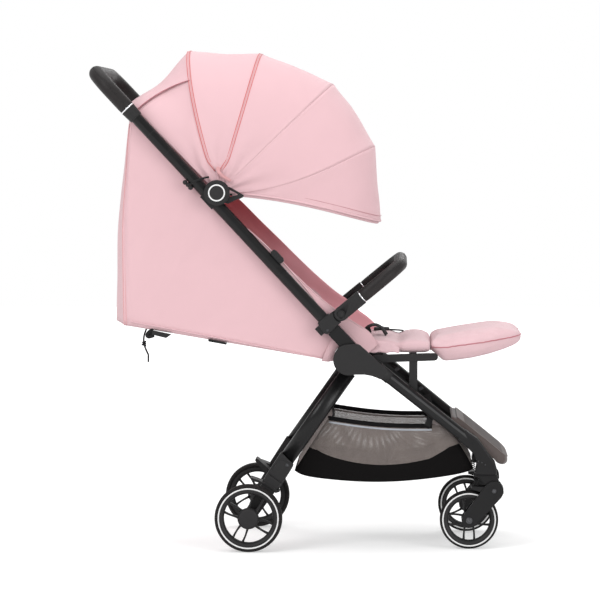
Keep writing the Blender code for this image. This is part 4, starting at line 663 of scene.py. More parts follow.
def panel_rows(start, end, drift_a, drift_b, rows=24, columns=72, sag=0.0, inner=0.016, extra=0.0):
    """Cloth stretched in a straight line between two arches, less its sag."""
    made = []
    span = radians(end[0] - start[0])
    for row in range(rows + 1):
        share = row / rows
        eased = share * share * (3 - 2 * share)
        angle = start[0] + (end[0] - start[0]) * share
        half, wide, tall = [a + (b - a) * eased for a, b in zip(start[2:], end[2:])]
        taut = start[1] * end[1] * sin(span) / (start[1] * sin(span * share) + end[1] * sin(span * (1 - share)))
        reach = taut + LIFT + extra - sag * sin(pi * share) ** 2
        half += LIFT + extra
        first = arch_share(reach, inner, tall)
        drift = lambda ratio, s=share: (1 - s) * drift_a(ratio) + s * drift_b(ratio)
        shares = [first + (1 - 2 * first) * c / columns for c in range(columns + 1)]
        made.append([arch(angle, reach, half, share, wide, tall, drift) for share in shares])
    return made


def bow_line(index):
    return BOW_ANGLES[index], BOW_REACHES[index], BOW_HALVES[index], WIDE, TALL


def lump(x, y, z):
    return noise.noise(Vector((x, y, z)))


def polar(p):
    dx, dz = p[0] - HINGE[0], p[2] - HINGE[1]
    return hypot(dx, dz), atan2(dz, dx)


def seam_path(index, lift, first=0.042, steps=90, shift=0.0):
    """Points along a seam over its bow, each with its outward direction."""
    angle, reach, half, wide, tall = bow_line(index)
    reach += LIFT + lift
    half += LIFT + lift
    start = arch_share(reach, first, tall)
    path = []
    for step in range(steps + 1):
        share = start + (1 - 2 * start) * step / steps
        drift = lambda r: seam_drift(index, r) + shift / max(reach * r, 0.03) * 57.3
        path.append(arch(angle, reach, half, share, wide, tall, drift))
    normals = []
    for i, p in enumerate(path):
        ahead = (path[min(i + 1, steps)] - path[max(i - 1, 0)]).normalized()
        radius, a = polar(p)
        across = Vector((-sin(a), 0, cos(a)))
        normal = across.cross(ahead)
        if normal.dot(Vector((cos(a), p.y * 3, sin(a)))) < 0:
            normal = -normal
        normals.append(normal.normalized())
    return path, normals


def wrinkle(p, weight, seed=0.0):
    """Soft folds: broad waves, and creases that gather towards the hinge."""
    radius, a = polar(p)
    broad = lump(p[0] * 9 + seed, p[1] * 7, p[2] * 9)
    gather = exp(-((radius - 0.06) / 0.07) ** 2) * sin(a * 16 + seed * 3 + 4 * lump(p[0] * 12, seed, p[2] * 12))
    fine = lump(p[0] * 26, p[1] * 11 + seed, p[2] * 26)
    return weight * (0.0018 * broad + 0.0022 * gather + 0.0008 * fine)


def creased(rows, seed, weigh, level=None, sideways=1.4):
    """Rows of cloth with their soft folds, drawn out from the hinge's axis and sideways."""
    made = []
    for i, row in enumerate(rows):
        weight, line = weigh(i / (len(rows) - 1)), []
        for p in row:
            radius, a = polar(p)
            reach = level or radius
            out = Vector((cos(a) * reach, p.y * sideways, sin(a) * reach)).normalized()
            line.append(p + out * wrinkle(p, weight, seed))
        made.append(line)
    return made


def rear_rows(**how):
    """Cloth from the first bow down to the line where the rear flap ends."""
    return panel_rows(bow_line(0), FLAP_LINE, lambda r: seam_drift(0, r), lambda r: 0.0, rows=26, sag=0.01, **how)


def canopy():
    for k in range(4):
        drift_a = lambda r, k=k: seam_drift(k, r)
        drift_b = lambda r, k=k: seam_drift(k + 1, r)
        rows = panel_rows(bow_line(k), bow_line(k + 1), drift_a, drift_b, sag=(0.0042, -0.0035, -0.004, 0.001)[k])
        moved = creased(rows, 3.1 * k, lambda share: sin(pi * share))
        panel = grid(f"canopy_cloth_{k + 1}", moved, PINK_UV, node=f"canopy_panel_{k + 1}")
        declare_sheet(panel, moved)
        ends = []
        for index in (k, k + 1):
            a = radians(BOW_ANGLES[index])
            reach = BOW_REACHES[index] * 0.6
            ends.append(Vector((HINGE[0] + reach * cos(a), 0, HINGE[1] + reach * sin(a))))
        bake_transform(panel)
    # Rear of the canopy
    moved = creased(rear_rows(), 9.0, lambda share: 1.3 * sin(pi * min(share, 0.6)), 0.2, 4)
    rear = grid("canopy_rear_cloth", moved, PINK_UV, body="push_frame", node="canopy_rear_flap")
    declare_sheet(rear, moved)
    # Outer rear flap over the top, its hem standing off the side cloth
    rows = rear_rows(inner=0.247, extra=0.0016)
    last, count = len(rows) - 1, len(rows[0]) - 1
    for i, row in enumerate(rows):
        stand = 0.0055 * max(sin(pi * i / last), 0.0) ** 0.8
        for j, p in enumerate(row):
            edge = exp(-(min(j, count - j) / 4.0) ** 2)
            p.y += (-1 if j < count / 2 else 1) * stand * edge
    flap = grid("canopy_rear_flap_cloth", rows, PINK_UV, body="push_frame")
    # The hems are real, but their dark seam colour also stands in for the shade in the slit under the flap's edge:
    # painted shade
    for label, j in (("right", 0), ("left", -1)):
        tube(f"rear_flap_hem_painted_shade_{label}", [row[j] for row in rows], 0.0009, SEAM, 8, body="push_frame")
    declare_sheet(flap, rows)
    # Seams, zips and the front hem
    for k in range(5):
        body = BOW_BODIES[k]
        path, normals = seam_path(k, 0.0004, first=0.046)
        if k < 2:
            sweep(f"canopy_zip_tape_{k + 1}", path, flat_section(0.0074, 0.001), PINK, up=normals, body=body)
            for label, shift in (("rear", 0.003), ("front", -0.003)):
                edge, out = seam_path(k, 0.0009, first=0.046, shift=shift)
                tube(f"canopy_zip_welt_{label}_{k + 1}", edge, 0.00095, SALMON, 8, up=out, body=body)
            teeth, out = seam_path(k, 0.001, first=0.046, steps=260)
            sizes = [1.0 if i % 2 else 0.72 for i in range(len(teeth))]
            tube(f"canopy_zip_teeth_{k + 1}", teeth, 0.0009, SALMON_PALE, 6, up=out, sizes=sizes, body=body)
        elif k < 4:
            path, normals = seam_path(k, 0.0002, first=0.032)
            tube(f"canopy_seam_{k + 1}", path, 0.0007, SEAM, 8, up=normals, body=body)
        else:
            tube("canopy_front_hem", path, 0.0022, PINK, 10, up=normals, body=body)
            line, out = seam_path(k, 0.0003, shift=0.011)
            tube("canopy_front_hem_stitching", line, 0.0005, SEAM, 6, up=out, body=body)
        # Bow in its sleeve inside the cloth
        inside, out = seam_path(k, -LIFT, first=0.03)
        sweep(f"canopy_bow_sleeve_{k + 1}", inside, round_section(0.0068, 0.0026, 14, 0.8), PINK, up=out, body=body)
        ends, eye = [], [(0.0044, 0.0017), (0.009, 0.0017), (0.009, -0.0017), (0.0044, -0.0017)]
        for side, reached in ((-1, inside[0]), (1, inside[-1])):
            pivot = at(HINGE, side * BOW_HALVES[k])
            lead = [Vector(pivot).lerp(reached, s) for s in (0.0, 0.35, 0.7, 1.02)]
            up = Vector((0, side, 0))
            ends.append(sweep("bow_end", lead, round_section(0.0058, 0.0017, 10, 0.7), PLASTIC, up=up))
            ends.append(lathe("bow_eye", eye, pivot, side, PLASTIC, 28))
        joined(f"canopy_bow_ends_{k + 1}", ends, body=body, node=f"canopy_bow_{k + 1}")


canopy()


# Bag behind the seat
BAG_HALF = PUSH_Y - TUBE_R - 0.0022 - 0.0003 - 0.0025


def bag_edges(share):
    """The bag at a share of its way round from the top to the seat: front edge, rear line and rounding."""
    corner = 6 / 14
    wing = max(sin(pi * min(max((share - 0.42) / 0.56, 0.0), 1.0)), 0.0) ** 0.6
    distance = 0.67 + (0.052 - 0.67) * share
    front = push_point(distance, PUSH_OFFSET - 0.004 + 0.022 * wing)
    if share < corner:
        part = share / corner
        x = BAG_TOP[0] + (BAG_CORNER[0] - BAG_TOP[0]) * part - 0.01 * sin(pi * part)
        z = BAG_TOP[1] + (BAG_CORNER[1] - BAG_TOP[1]) * part
        rounding = 0.034 * (0.35 + 0.65 * part)
    else:
        part = (share - corner) / (1 - corner)
        x = BAG_CORNER[0] + (BAG_FRONT[0] - BAG_CORNER[0]) * part
        z = BAG_CORNER[1] + (BAG_FRONT[1] - BAG_CORNER[1]) * part
        rounding = 0.034 * max(1 - 8 * part, 0.0)
    drop = 0.0095 * min(share / corner, 1.0) ** 6 * (1 - 0.55 * max(share - corner, 0.0) / (1 - corner))
    return front, (x, z), rounding, drop


def bag_fold(x, z):
    """How far the side wall is drawn in: folds that hang below the hinge, and slack near the corners."""
    hang = 0.0
    for at, width, depth in ((-0.188, 0.01, 0.003), (-0.16, 0.013, 0.0022), (-0.215, 0.012, 0.0016)):
        hang += depth * exp(-((x - at - 0.05 * (0.72 - z)) / width) ** 2) * exp(-((z - 0.655) / 0.075) ** 2)
    slack = 0.5 + 0.5 * lump(x * 7 + 2.0, 0.3, z * 5)
    crease = lump(x * 22 + z * 14, 1.7, z * 6)
    return hang + 0.003 * slack + 0.0008 * crease


def back_bag():
    steps, reaches, widths = 84, 22, 18
    outer_half = BAG_HALF + 0.0025 - 0.006
    rows = []
    for step in range(steps + 1):
        share = step / steps
        front, (x, z), rounding, drop = bag_edges(share)
        line = []
        for k in range(reaches):
            reach = 0.955 * k / (reaches - 1)
            px = front[0] + (x - front[0]) * reach
            pz = front[1] + (z - drop - front[1]) * reach
            y = BAG_HALF + 0.0025 + (outer_half - BAG_HALF - 0.0025) * reach
            edge = min(reach / 0.12, 1.0) * min((1 - reach) / 0.1, 1.0)
            line.append(Vector((px, -(y - bag_fold(px, pz) * max(edge, 0.0)), pz)))
        for k in range(widths):
            width = 0.985 * (1 - (k + 0.5) / widths)
            ripple = 0.0
            if share < 0.43:
                ripple = 0.0035 * lump(width * 2.4, 5.0, z * 8) * sin(pi * min(share / 0.43, 1.0))
            hem = drop * (0.25 + 0.75 * width ** 6)
            line.append(Vector((x - rounding * (1 - width ** 2.3) + ripple, -outer_half * width, z - hem)))
        rows.append(line + [Vector((p.x, -p.y, p.z)) for p in reversed(line)])
    bag = grid("back_bag_cloth", rows, PINK_UV, thickness=0.0014, body="push_frame", node="back_bag")
    trims = []
    corner = round(steps * 6 / 14)
    for label, side in SIDES:
        pick = (lambda row, j: row[j]) if side < 0 else (lambda row, j: row[-1 - j])
        out = Vector((0, side, 0))
        seam = [pick(row, reaches) + out * 0.0012 + Vector((0.001, 0, 0)) for row in rows[3:corner + 1]]
        trims.append(sweep(f"bag_zip_tape_{label}", seam, flat_section(0.0066, 0.001), PINK, up=out))
        for shift in (-0.0026, 0.0026):
            welt = [p + out * 0.0006 + Vector((shift, 0, 0)) for p in seam]
            trims.append(tube(f"bag_zip_welt_{label}_{shift > 0}", welt, 0.0008, SALMON_PALE, 8))
        low = [pick(row, reaches - 1) + out * 0.0006 + Vector((0, 0, -0.0006)) for row in rows[corner:]]
        trims.append(tube(f"bag_low_piping_{label}", low, 0.0012, PINK, 8))
        edge = [pick(row, 0) + out * 0.0003 for row in rows]
        trims.append(tube(f"bag_front_piping_{label}", edge, 0.0014, PINK, 8))
    for trim in trims:
        dress(trim, "push_frame")
    declare_sheet(bag, rows)


back_bag()


# Pads
def pad_ring(half, low, high, crown, drawn):
    """A pad's cross-section as (y, z): flat below, drawn-in sides and a crowned top."""
    height = high - low
    ring = [(-half + drawn, low), (-half * 0.5, low), (0.0, low), (half * 0.5, low), (half - drawn, low)]
    ring += [(half - drawn * 0.15, low + height * 0.3), (half - drawn * 0.15, low + height * 0.62),
        (half - drawn, high - crown * 0.4)]
    ring += [(half * s, high + crown * (0.5 - abs(s)) * 0.8) for s in (0.75, 0.5, 0.25, 0.0, -0.25, -0.5, -0.75)]
    ring += [(-half + drawn, high - crown * 0.4), (-half + drawn * 0.15, low + height * 0.62),
        (-half + drawn * 0.15, low + height * 0.3)]
    return ring


PAD_INSET = 0.0015


def pad(name, stations, half, crown, place=None, voxel=0.005, cap=0.006, seams=(), pressure=4.0):
    """A stuffed pad: a closed loft, remeshed, blown up as cloth between its sewn seams, then smoothed."""
    points = []
    for x, low, high, width in stations:
        sizes = (half * width - PAD_INSET, low + PAD_INSET * 0.3, high - PAD_INSET, crown * width, 0.01)
        points += [(x, y, z) for y, z in pad_ring(*sizes)]
    count = len(points) // len(stations)
    ends = [tuple(range(count))[::-1], tuple(range(len(points) - count, len(points)))]
    made = tidy(piece(name, points, strips(len(stations), count) + ends, PAD))
    remesh = made.modifiers.new("remesh", "REMESH")
    remesh.mode = "VOXEL"
    remesh.voxel_size = voxel
    remesh.use_smooth_shade = True
    baked(made)
    even = made.modifiers.new("even", "SMOOTH")
    even.factor = 0.5
    even.iterations = 4
    baked(made)
    swell(made, seams, cap, pressure)
    if place is not None:
        made.data.transform(place)
        if place.determinant() < 0:
            made.data.flip_normals()
    finer = made.modifiers.new("finer", "SUBSURF")
    finer.levels = finer.render_levels = 1
    baked(made)
    for face in made.data.polygons:
        face.use_smooth = True
    if not made.data.materials:
        made.data.materials.append(PAD)
    return made


SWELL_FRAMES = 20


def swell(obj, seams, cap, pressure):
    """Blows a pad up as cloth, up to a cap. It stays sewn down across each seam's x, and its underside stays put."""
    rest = [v.co.copy() for v in obj.data.vertices]
    low = min(p.z for p in rest)
    held = obj.vertex_groups.new(name="held")
    for vertex in obj.data.vertices:
        hold = max([exp(-((vertex.co.x - x) / 0.0045) ** 2) for x in seams] or [0.0])
        under = 1.0 if vertex.normal.z < -0.7 else 0.0
        held.add([vertex.index], max(hold, under), "REPLACE")
    sim = obj.modifiers.new("cloth", "CLOTH")
    settings = {
        "quality": 4, "mass": 0.25, "tension_stiffness": 12, "compression_stiffness": 12, "shear_stiffness": 6,
        "bending_stiffness": 0.4, "use_pressure": True, "uniform_pressure_force": pressure,
        "vertex_group_mass": "held",
    }
    for key, value in settings.items():
        setattr(sim.settings, key, value)
    sim.settings.effector_weights.gravity = 0.0
    sim.collision_settings.use_collision = False
    sim.point_cache.frame_start, sim.point_cache.frame_end = 1, SWELL_FRAMES
    scene = bpy.context.scene
    for moment in range(1, SWELL_FRAMES + 1):
        scene.frame_set(moment)
    graph = bpy.context.evaluated_depsgraph_get()
    data = obj.evaluated_get(graph).to_mesh()
    puffed = [v.co.copy() for v in data.vertices]
    obj.evaluated_get(graph).to_mesh_clear()
    obj.modifiers.clear()
    for vertex, before, after in zip(obj.data.vertices, rest, puffed):
        move = after - before
        if move.length > cap:
            move *= cap / move.length
        vertex.co = before + move
    scene.frame_set(1)
    obj.data.update()


SEAT_REAR, SEAT_CHANNEL, SEAT_FRONT, SEAT_TOP = HUB_X + 0.035, HUB_X + 0.105, HUB_X + 0.1725, 0.45
SEAT_LOW = 0.4207
REST_X = SEAT_FRONT + 0.0095
BACK_PIVOT = (HUB_X - 0.029, 0.43)
back_ahead, back_over = BACK_PIVOT[0] - BAG_FRONT[0], BACK_PIVOT[1] - BAG_FRONT[1]
BACK_UNDER = back_ahead * sin(BACK_LEAN) - back_over * cos(BACK_LEAN) - 0.0003
BACK_TURN = Matrix.Rotation(-BACK_LEAN, 4, "Y") @ Matrix.Diagonal((1, 1, -1, 1))
BACK_FRAME = Matrix.Translation(at(BACK_PIVOT)) @ BACK_TURN
BACK_SEAMS = (0.128, 0.263)


def on_surface(obj, path, lift=0.0003):
    """The nearest points of a mesh to a path, lifted off it."""
    tree = BVHTree.FromPolygons([v.co for v in obj.data.vertices], [tuple(f.vertices) for f in obj.data.polygons])
    hits = [tree.find_nearest(p) for p in path]
    return [hit[0] + hit[1] * lift for hit in hits]


def cushion(name, node, body, fill, stations, half, crown, **how):
    """A pad that rides a body in place of its solid."""
    made = dress(pad(name, stations, half, crown, **how), body, node)
    return made


def seat():
    low, top, middle = SEAT_LOW, SEAT_TOP + 0.0055, SEAT_CHANNEL
    stations = [
        (SEAT_REAR, low + 0.006, top - 0.008, 0.94), (SEAT_REAR + 0.008, low, top - 0.002, 1.0),
        ((SEAT_REAR + middle) / 2, low, top + 0.001, 1.0), (middle - 0.01, low, top - 0.001, 1.0),
        (middle, low + 0.001, top - 0.009, 0.975), (middle + 0.01, low, top - 0.001, 1.0),
        ((SEAT_FRONT + middle) / 2, low, top + 0.001, 1.0), (SEAT_FRONT - 0.008, low, top - 0.002, 1.0),
        (SEAT_FRONT, low + 0.003, top - 0.005, 0.985),
    ]
    return cushion("seat_cushion", "seat_pad", "front_frame", 0.65, stations, 0.17, 0.014, seams=(middle,),
        cap=0.0055)


def leg_rest():
    x = REST_X
    stations = [
        (x - 0.0088, 0.424, 0.4505, 0.985), (x - 0.002, 0.4215, 0.4525, 1.0), (x + 0.02, 0.401, 0.456, 1.0),
        (x + 0.045, 0.403, 0.4605, 1.0), (x + 0.08, 0.408, 0.4665, 1.0), (x + 0.115, 0.416, 0.4715, 0.995),
        (x + 0.15, 0.427, 0.475, 0.97), (x + 0.172, 0.4355, 0.4725, 0.92), (x + 0.184, 0.443, 0.467, 0.84),
        (x + 0.188, 0.451, 0.46, 0.66),
    ]
    rest = cushion("leg_rest_cushion", "leg_rest", "leg_rest", 0.7, stations, 0.15, 0.006, cap=0.004, pressure=1.8)
    near = [(-0.009, 0.15, 0.4305), (0.02, 0.154, 0.4335), (0.06, 0.155, 0.4385), (0.11, 0.154, 0.4445),
        (0.15, 0.15, 0.451), (0.172, 0.139, 0.455), (0.184, 0.12, 0.4575), (0.19, 0.08, 0.459), (0.192, 0.0, 0.4595)]
    line = [(x + a, -y, z) for a, y, z in near]
    line += [(a, -y, z) for a, y, z in reversed(line[:-1])]
    tube("leg_rest_piping", on_surface(rest, smooth_path(line, 8)), 0.0013, SEAM, 8, body="leg_rest")


def backrest():
    low, rise = -BACK_UNDER, 0.014
    stations = [(0.006, low + 0.012, rise - 0.006, 0.955), (0.014, low, rise - 0.002, 1.0)]
    for seam in BACK_SEAMS:
        for shift, height, width in ((-0.055, 0.001, 1.0), (-0.01, -0.001, 1.0), (0.0, -0.007, 0.99),
            (0.01, -0.001, 1.0)):
            stations.append((seam + shift, low, rise + height, width))
    stations += [(0.345, low, rise + 0.001, 1.0), (0.413, low, rise - 0.002, 0.98),
        (0.424, low + 0.012, rise - 0.006, 0.9)]
    how = {"place": BACK_FRAME, "seams": BACK_SEAMS, "voxel": 0.006}
    cushion("backrest_cushion", "backrest", "backrest", 0.5, stations, 0.157, 0.006, **how)


seat_cushion = seat()
leg_rest()
backrest()


def harness():
    lift = 0.014 + 0.0012 + 0.0036
    route = [(0.052, -0.05), (0.12, -0.048), (0.19, -0.046), (0.25, -0.042), (0.29, -0.03), (0.3, 0.0)]
    route += [(x, -y) for x, y in reversed(route[:-1])]
    up = BACK_FRAME.to_3x3() @ Vector((0, 0, 1))
    path = smooth_path([BACK_FRAME @ Vector((x, y, lift)) for x, y in route], 6)
    sweep("harness_shoulder_straps", path, flat_section(0.024, 0.0022), WEB, up=up, body="backrest",
        node="harness_straps")
    for label, side in SIDES:
        places = ((0.095, 0.049), (0.15, 0.0475), (0.215, 0.0445))
        path = smooth_path([BACK_FRAME @ Vector((x, side * y, lift + 0.002)) for x, y in places], 8)
        section = round_section(0.02, 0.0042, 18, 0.75)
        cover = sweep(f"shoulder_pad_{label}", path, section, PAD, up=up, body="backrest")


harness()


# Basket: mesh above its border, dark cloth below
BORDER_ROW = 12


def basket():
    half = 0.15
    top_rear, top_front, low_rear, low_front = (HUB_X - 0.043, 0.282), (HUB_X + 0.177, 0.266), (HUB_X - 0.117,
        0.158), (HUB_X + 0.2655, 0.1665)
    columns, down, across = 48, 20, 16
    rows = []
    for column in range(columns + 1):
        share = column / columns
        top_x, top_z = [a + (b - a) * share for a, b in zip(top_rear, top_front)]
        low_x, low_z = [a + (b - a) * share for a, b in zip(low_rear, low_front)]
        sag = 0.018 * sin(pi * share)
        low_z += 0.01 * exp(-share / 0.035) + 0.006 * exp(-(1 - share) / 0.04)
        arched = max(sin(pi * min(max((share - 0.06) / 0.88, 0), 1)), 0.0) ** 0.8
        border = 0.575 + 0.16 * arched - 0.14 * max(share - 0.8, 0) / 0.2
        line = []
        for k in range(down + 1):
            part = border * k / BORDER_ROW
            if k > BORDER_ROW:
                part = border + (1 - border) * (k - BORDER_ROW) / (down - BORDER_ROW)
            x = top_x + (low_x - top_x) * part ** (1 - 0.5 * share ** 4)
            z = top_z + (low_z - top_z) * part - sag * part ** 1.3 - 0.006 * sin(pi * share) * (1 - part)
            ripple = lump(x * 17, 0.4, z * 15) * 0.003 + lump(x * 44 + z * 30, 1.4, z * 36) * 0.001
            fade = sin(pi * min(part * 0.9 + 0.05, 1.0))
            line.append(Vector((x, -half - 0.0015 + 0.006 * part + ripple * fade * 0.8, z)))
        floor_z = line[-1].z - 0.002
        for k in range(1, across + 1):
            width = 1 - k / across
            swag = lump(low_x * 14, width * 3, 2.2) * 0.002
            line.append(Vector((low_x, -half * 0.96 * width, floor_z + swag * (1 - width))))
        rows.append(line + [Vector((p.x, -p.y, p.z)) for p in reversed(line[:-1])])
    body = grid("basket_cloth", rows, MESH, BASE, inward=False, body="front_frame", node="basket")
    for face in body.data.polygons:
        centre = face.center
        edge = min((row[BORDER_ROW] for row in rows), key=lambda p: abs(centre.x - p.x))
        face.material_index = 1 if centre.z < edge.z - 0.0004 else 0
    trims = []
    for label, row, lean in (("rear", rows[0], -1), ("front", rows[-1], 1)):
        near, steps = row[:down + 1], 20
        wall = []
        for p in near:
            height = (p.z - near[-1].z) / (near[0].z - near[-1].z)
            droop = 1 if p is near[0] else 0.6
            line = []
            for s in range(steps + 1):
                belly = 0.01 * (1 - (2 * s / steps - 1) ** 2)
                x = p.x - lean * 0.6 * belly * height
                line.append(Vector((x, p.y * (1 - 2 * s / steps), p.z - belly * droop)))
            wall.append(line)
        end = grid(f"basket_{label}_end", wall, MESH, body="front_frame")
        declare_sheet(end, wall)
        trims.append(tube(f"basket_{label}_binding", wall[0], 0.0028, BINDING, 10))
    for label, side in SIDES:
        out = Vector((0, side, 0))
        top, border = [[row[j if side < 0 else -1 - j] for row in rows] for j in (0, BORDER_ROW)]
        for kind, below, stand, width, thick, surface in (
            ("binding", 0.002, 0.0005, 0.0095, 0.003, BINDING),
            ("reflective_strip", 0.0105, 0.0012, 0.0036, 0.001, REFLECTIVE),
        ):
            path = [p + out * stand - Vector((0, 0, below)) for p in top]
            trims.append(sweep(f"basket_{kind}_{label}", path, flat_section(width, thick), surface, up=out))
        trims.append(tube(f"basket_border_{label}", [p + out * 0.001 for p in border], 0.001, BINDING, 8))
    for trim in trims:
        dress(trim, "front_frame", slot="basket_mesh" if "border" in trim.name else "webbing")
    declare_sheet(body, rows)
    # Tabs that hold the basket's front corners to the legs
    reach = (top_front[0] - 0.008 - leg_point(0.0)[0]) / cos(LEG_LEAN)
    tab_x, tab_z = leg_point(reach)
    for label, side in SIDES:
        y = 0.199 + (reach - 0.078) / (0.322 - 0.078) * (0.161 - 0.199) - 0.0137
        route = [
            (top_front[0] - 0.012, side * 0.1505, top_front[1] - 0.008),
            ((top_front[0] + tab_x) / 2, side * 0.158, (top_front[1] + tab_z) / 2 - 0.003),
            (tab_x, side * (y - 0.001), tab_z),
        ]
        path, up = smooth_path(route, 6), Vector((0, side, 0))
        sweep(f"basket_tab_{label}", path, flat_section(0.014, 0.0022), WEB, up=up, body="front_frame")


basket()


# Wheels
REAR_AXLE = (HUB_X - 0.213, 0.0725 * cos(pi / 30))
FRONT_AXLE = (HUB_X + 0.295 - 0.038, 0.063 * cos(pi / 30))


def spokes(centre, hub_r, open_r, half, first, width=0.0046):
    made = []
    for pair in range(4):
        for offset in (-1, 1):
            lean = radians(first + 90 * pair)
            start, end = Vector((hub_r - 0.004, offset * 0.0078)), Vector((open_r + 0.0022, offset * 0.0112))
            path, sizes = [], []
            for k in range(9):
                s = k / 8
                p = start.lerp(end, s)
                bow = 0.0012 * sin(pi * s) * offset
                x, z = p.x * cos(lean) - (p.y + bow) * sin(lean), p.x * sin(lean) + (p.y + bow) * cos(lean)
                path.append((centre[0] + x, centre[1], centre[2] + z))
                sizes.append(1.25 - 0.35 * sin(pi * s))
            section, up = round_section(half * 0.42, width / 2, 12, 0.7), Vector((-sin(lean), 0, cos(lean)))
            made.append(sweep("rim_spoke", path, section, PLASTIC, up=up, sizes=sizes))
    return made


def wheel(kind, label, side, centre, outer, half, rim_r, open_r, hub_r, hub_half, rings, body, first):
    lip = half * 0.8
    tyre = [
        (rim_r, lip), (rim_r + 0.002, lip + 0.0014), (rim_r + 0.0042, half * 0.955), (outer - 0.004, half * 0.93),
        (outer - 0.0018, half * 0.8), (outer - 0.0005, half * 0.6), (outer, half * 0.42), (outer, half * 0.3),
        (outer - 0.0012, half * 0.26), (outer - 0.0012, half * 0.2), (outer, half * 0.16),
    ]
    tyre += [(r, -h) for r, h in reversed(tyre)]
    lathe(f"{kind}_tyre_tread_{label}", tyre, centre, side, TYRE, 112, body=body, node=f"{kind}_tyre_{label}")
    ring = [
        (rim_r, lip), (rim_r - 0.0012, lip + 0.0006), (open_r + 0.006, lip + 0.0002), (open_r + 0.0028, lip - 0.001),
        (open_r + 0.0008, lip - 0.0034), (open_r, lip * 0.35), (open_r, -lip * 0.35), (open_r + 0.0008, 0.0034 - lip),
        (open_r + 0.0028, 0.001 - lip), (open_r + 0.006, -lip - 0.0002), (rim_r - 0.0012, -lip - 0.0006),
        (rim_r, -lip),
    ]
    parts = [lathe("rim_ring", ring, centre, side, PLASTIC, 96)]
    bore = 0.0035
    hub = [
        (bore, hub_half), (hub_r * 0.55, hub_half), (hub_r - 0.0028, hub_half - 0.0004),
        (hub_r - 0.0008, hub_half - 0.0016), (hub_r, hub_half - 0.004),
        (hub_r * 0.96, half * 0.1), (hub_r * 0.62, -half * 0.45), (min(0.0125, hub_r), -hub_half + 0.0006),
        (min(0.0115, hub_r * 0.9), -hub_half), (bore, -hub_half),
    ]
    parts.append(lathe("rim_hub", hub, centre, side, PLASTIC, 64))
    parts += spokes(centre, hub_r, open_r, half, first)
    joined(f"{kind}_wheel_rim_{label}", parts, body=body, node=f"{kind}_rim_{label}")
    for outward in rings:
        white = [(rim_r - 0.0012, lip + 0.0004), (rim_r - 0.0008, lip + 0.0014), (rim_r + 0.0006, lip + 0.0019),
            (rim_r + 0.0018, lip + 0.0017), (rim_r + 0.0022, lip + 0.0008)]
        lathe(f"{kind}_wheel_ring_{label}_{'out' if outward > 0 else 'in'}", white, centre, side * outward, WHITE,
            112, body=body)


def wheels():
    for label, side in SIDES:
        body = f"rear_wheel_{label}"
        centre = at(REAR_AXLE, side * 0.2165)
        sizes = (centre[2], 0.0165, 0.063, 0.052, 0.023, 0.015)
        wheel("rear", label, side, centre, *sizes, (1,), body, 64 if side < 0 else 38)
        cap = [(0.0, 0.0186), (0.015, 0.0184), (0.0196, 0.0176), (0.0212, 0.016), (0.0214, 0.0146), (0.0, 0.0146)]
        lathe(f"rear_hub_cap_{label}", cap, centre, side, TEXTURED, 64, body=body, ring=False)
        centre = at(FRONT_AXLE, side * 0.148)
        sizes = (centre[2], 0.013, 0.0555, 0.044, 0.013, 0.0118)
        wheel("front", label, side, centre, *sizes, (1, -1), f"front_wheel_{label}", 0 if side < 0 else 20)


wheels()


# Side cloth between the push tubes and the seat
WING_EDGES = {
    -1: ((0.44, 0.022), (0.345, 0.024), (0.29, 0.027), (0.26, 0.0315), (0.2434, 0.0355), (0.184, 0.0395),
         (0.139, 0.043), (0.093, 0.0505), (0.053, 0.0595), (0.022, 0.068), (0.004, 0.0692), (-0.02, 0.065)),
    1: ((0.44, 0.034), (0.413, 0.0405), (0.345, 0.043), (0.283, 0.046), (0.24, 0.0475), (0.178, 0.051),
        (0.118, 0.0575), (0.085, 0.0645), (0.05, 0.067), (0.022, 0.072), (-0.02, 0.0745)),
}


def wings():
    knuckle = 0.0318
    for label, side in SIDES:
        # Painted shade: the face of each wing towards the seat takes the shaded copy of the pink, and so does the
        # left wing's hem
        outer, inner = (PINK_PAINTED_SHADE, PINK) if side < 0 else (PINK, PINK_PAINTED_SHADE)
        rows = []
        for point in smooth_path([(d, 0, off) for d, off in WING_EDGES[side]], 7):
            d, off = point.x, point.z
            start = min(max(0.01, (max(knuckle ** 2 - d ** 2, 0.0)) ** 0.5), off - 0.004)
            row = []
            for k in range(13):
                share = k / 12
                x, z = push_point(d, start + (off - start) * share)
                fold = 0.0022 * lump(x * 24, 3.0 + side, z * 24) + 0.0016 * sin(26 * d + 2.5 * share)
                row.append(Vector((x, side * (0.1806 - fold * sin(pi * min(share + 0.1, 1.0)) - 0.0012 * share), z)))
            rows.append(row)
        wing = grid(f"side_wing_{label}", rows, outer, inner, thickness=0.001, inward=side > 0, two_sided=True)
        hem = tube(f"side_wing_hem_{label}", [row[-1] for row in rows], 0.0011, inner, 8)
        low, high = [Vector(at(push_point(d))) for d in (-0.01, 0.15)]
        for made in (wing, hem):
            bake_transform(made)
        declare_sheet(wing, rows)
        gusset = [[(0.034, 0.4045), (0.048, 0.403), (0.0607, 0.405)],
            [(0.044, 0.428), (0.054, 0.426), (0.0634, 0.425)], [(0.055, 0.45), (0.065, 0.444), (0.0745, 0.4392)],
            [(0.064, 0.466), (0.076, 0.456), (0.086, 0.4465)]]
        rows = [[Vector((x, side * 0.1822, z)) for x, z in line] for line in gusset]
        corner = grid(f"bag_corner_{label}", rows, PINK, thickness=0.001, inward=side > 0, body="push_frame")
        declare_sheet(corner, rows)
        rows = []
        for k in range(21):
            share = k / 20
            x = 0.1275 + 0.0725 * share
            top = 0.452 - 0.01 * share - 0.01 * max(share - 0.8, 0.0) / 0.2
            low = 0.4225 + 0.0012 * sin(17 * share + 0.6)
            gather = 0.0012 * sin(44 * share) * (1 - share)
            row = []
            for s in (0.0, 0.15, 0.35, 0.6, 0.8, 1.0):
                row.append(Vector((x, side * (0.1742 - 0.0022 * s + gather * (1 - s)), low + (top - low) * s)))
            rows.append(row)
        skirt = grid(f"seat_skirt_{label}", rows, PAD, thickness=0.001, inward=side < 0, body="front_frame")
        declare_sheet(skirt, rows)


wings()


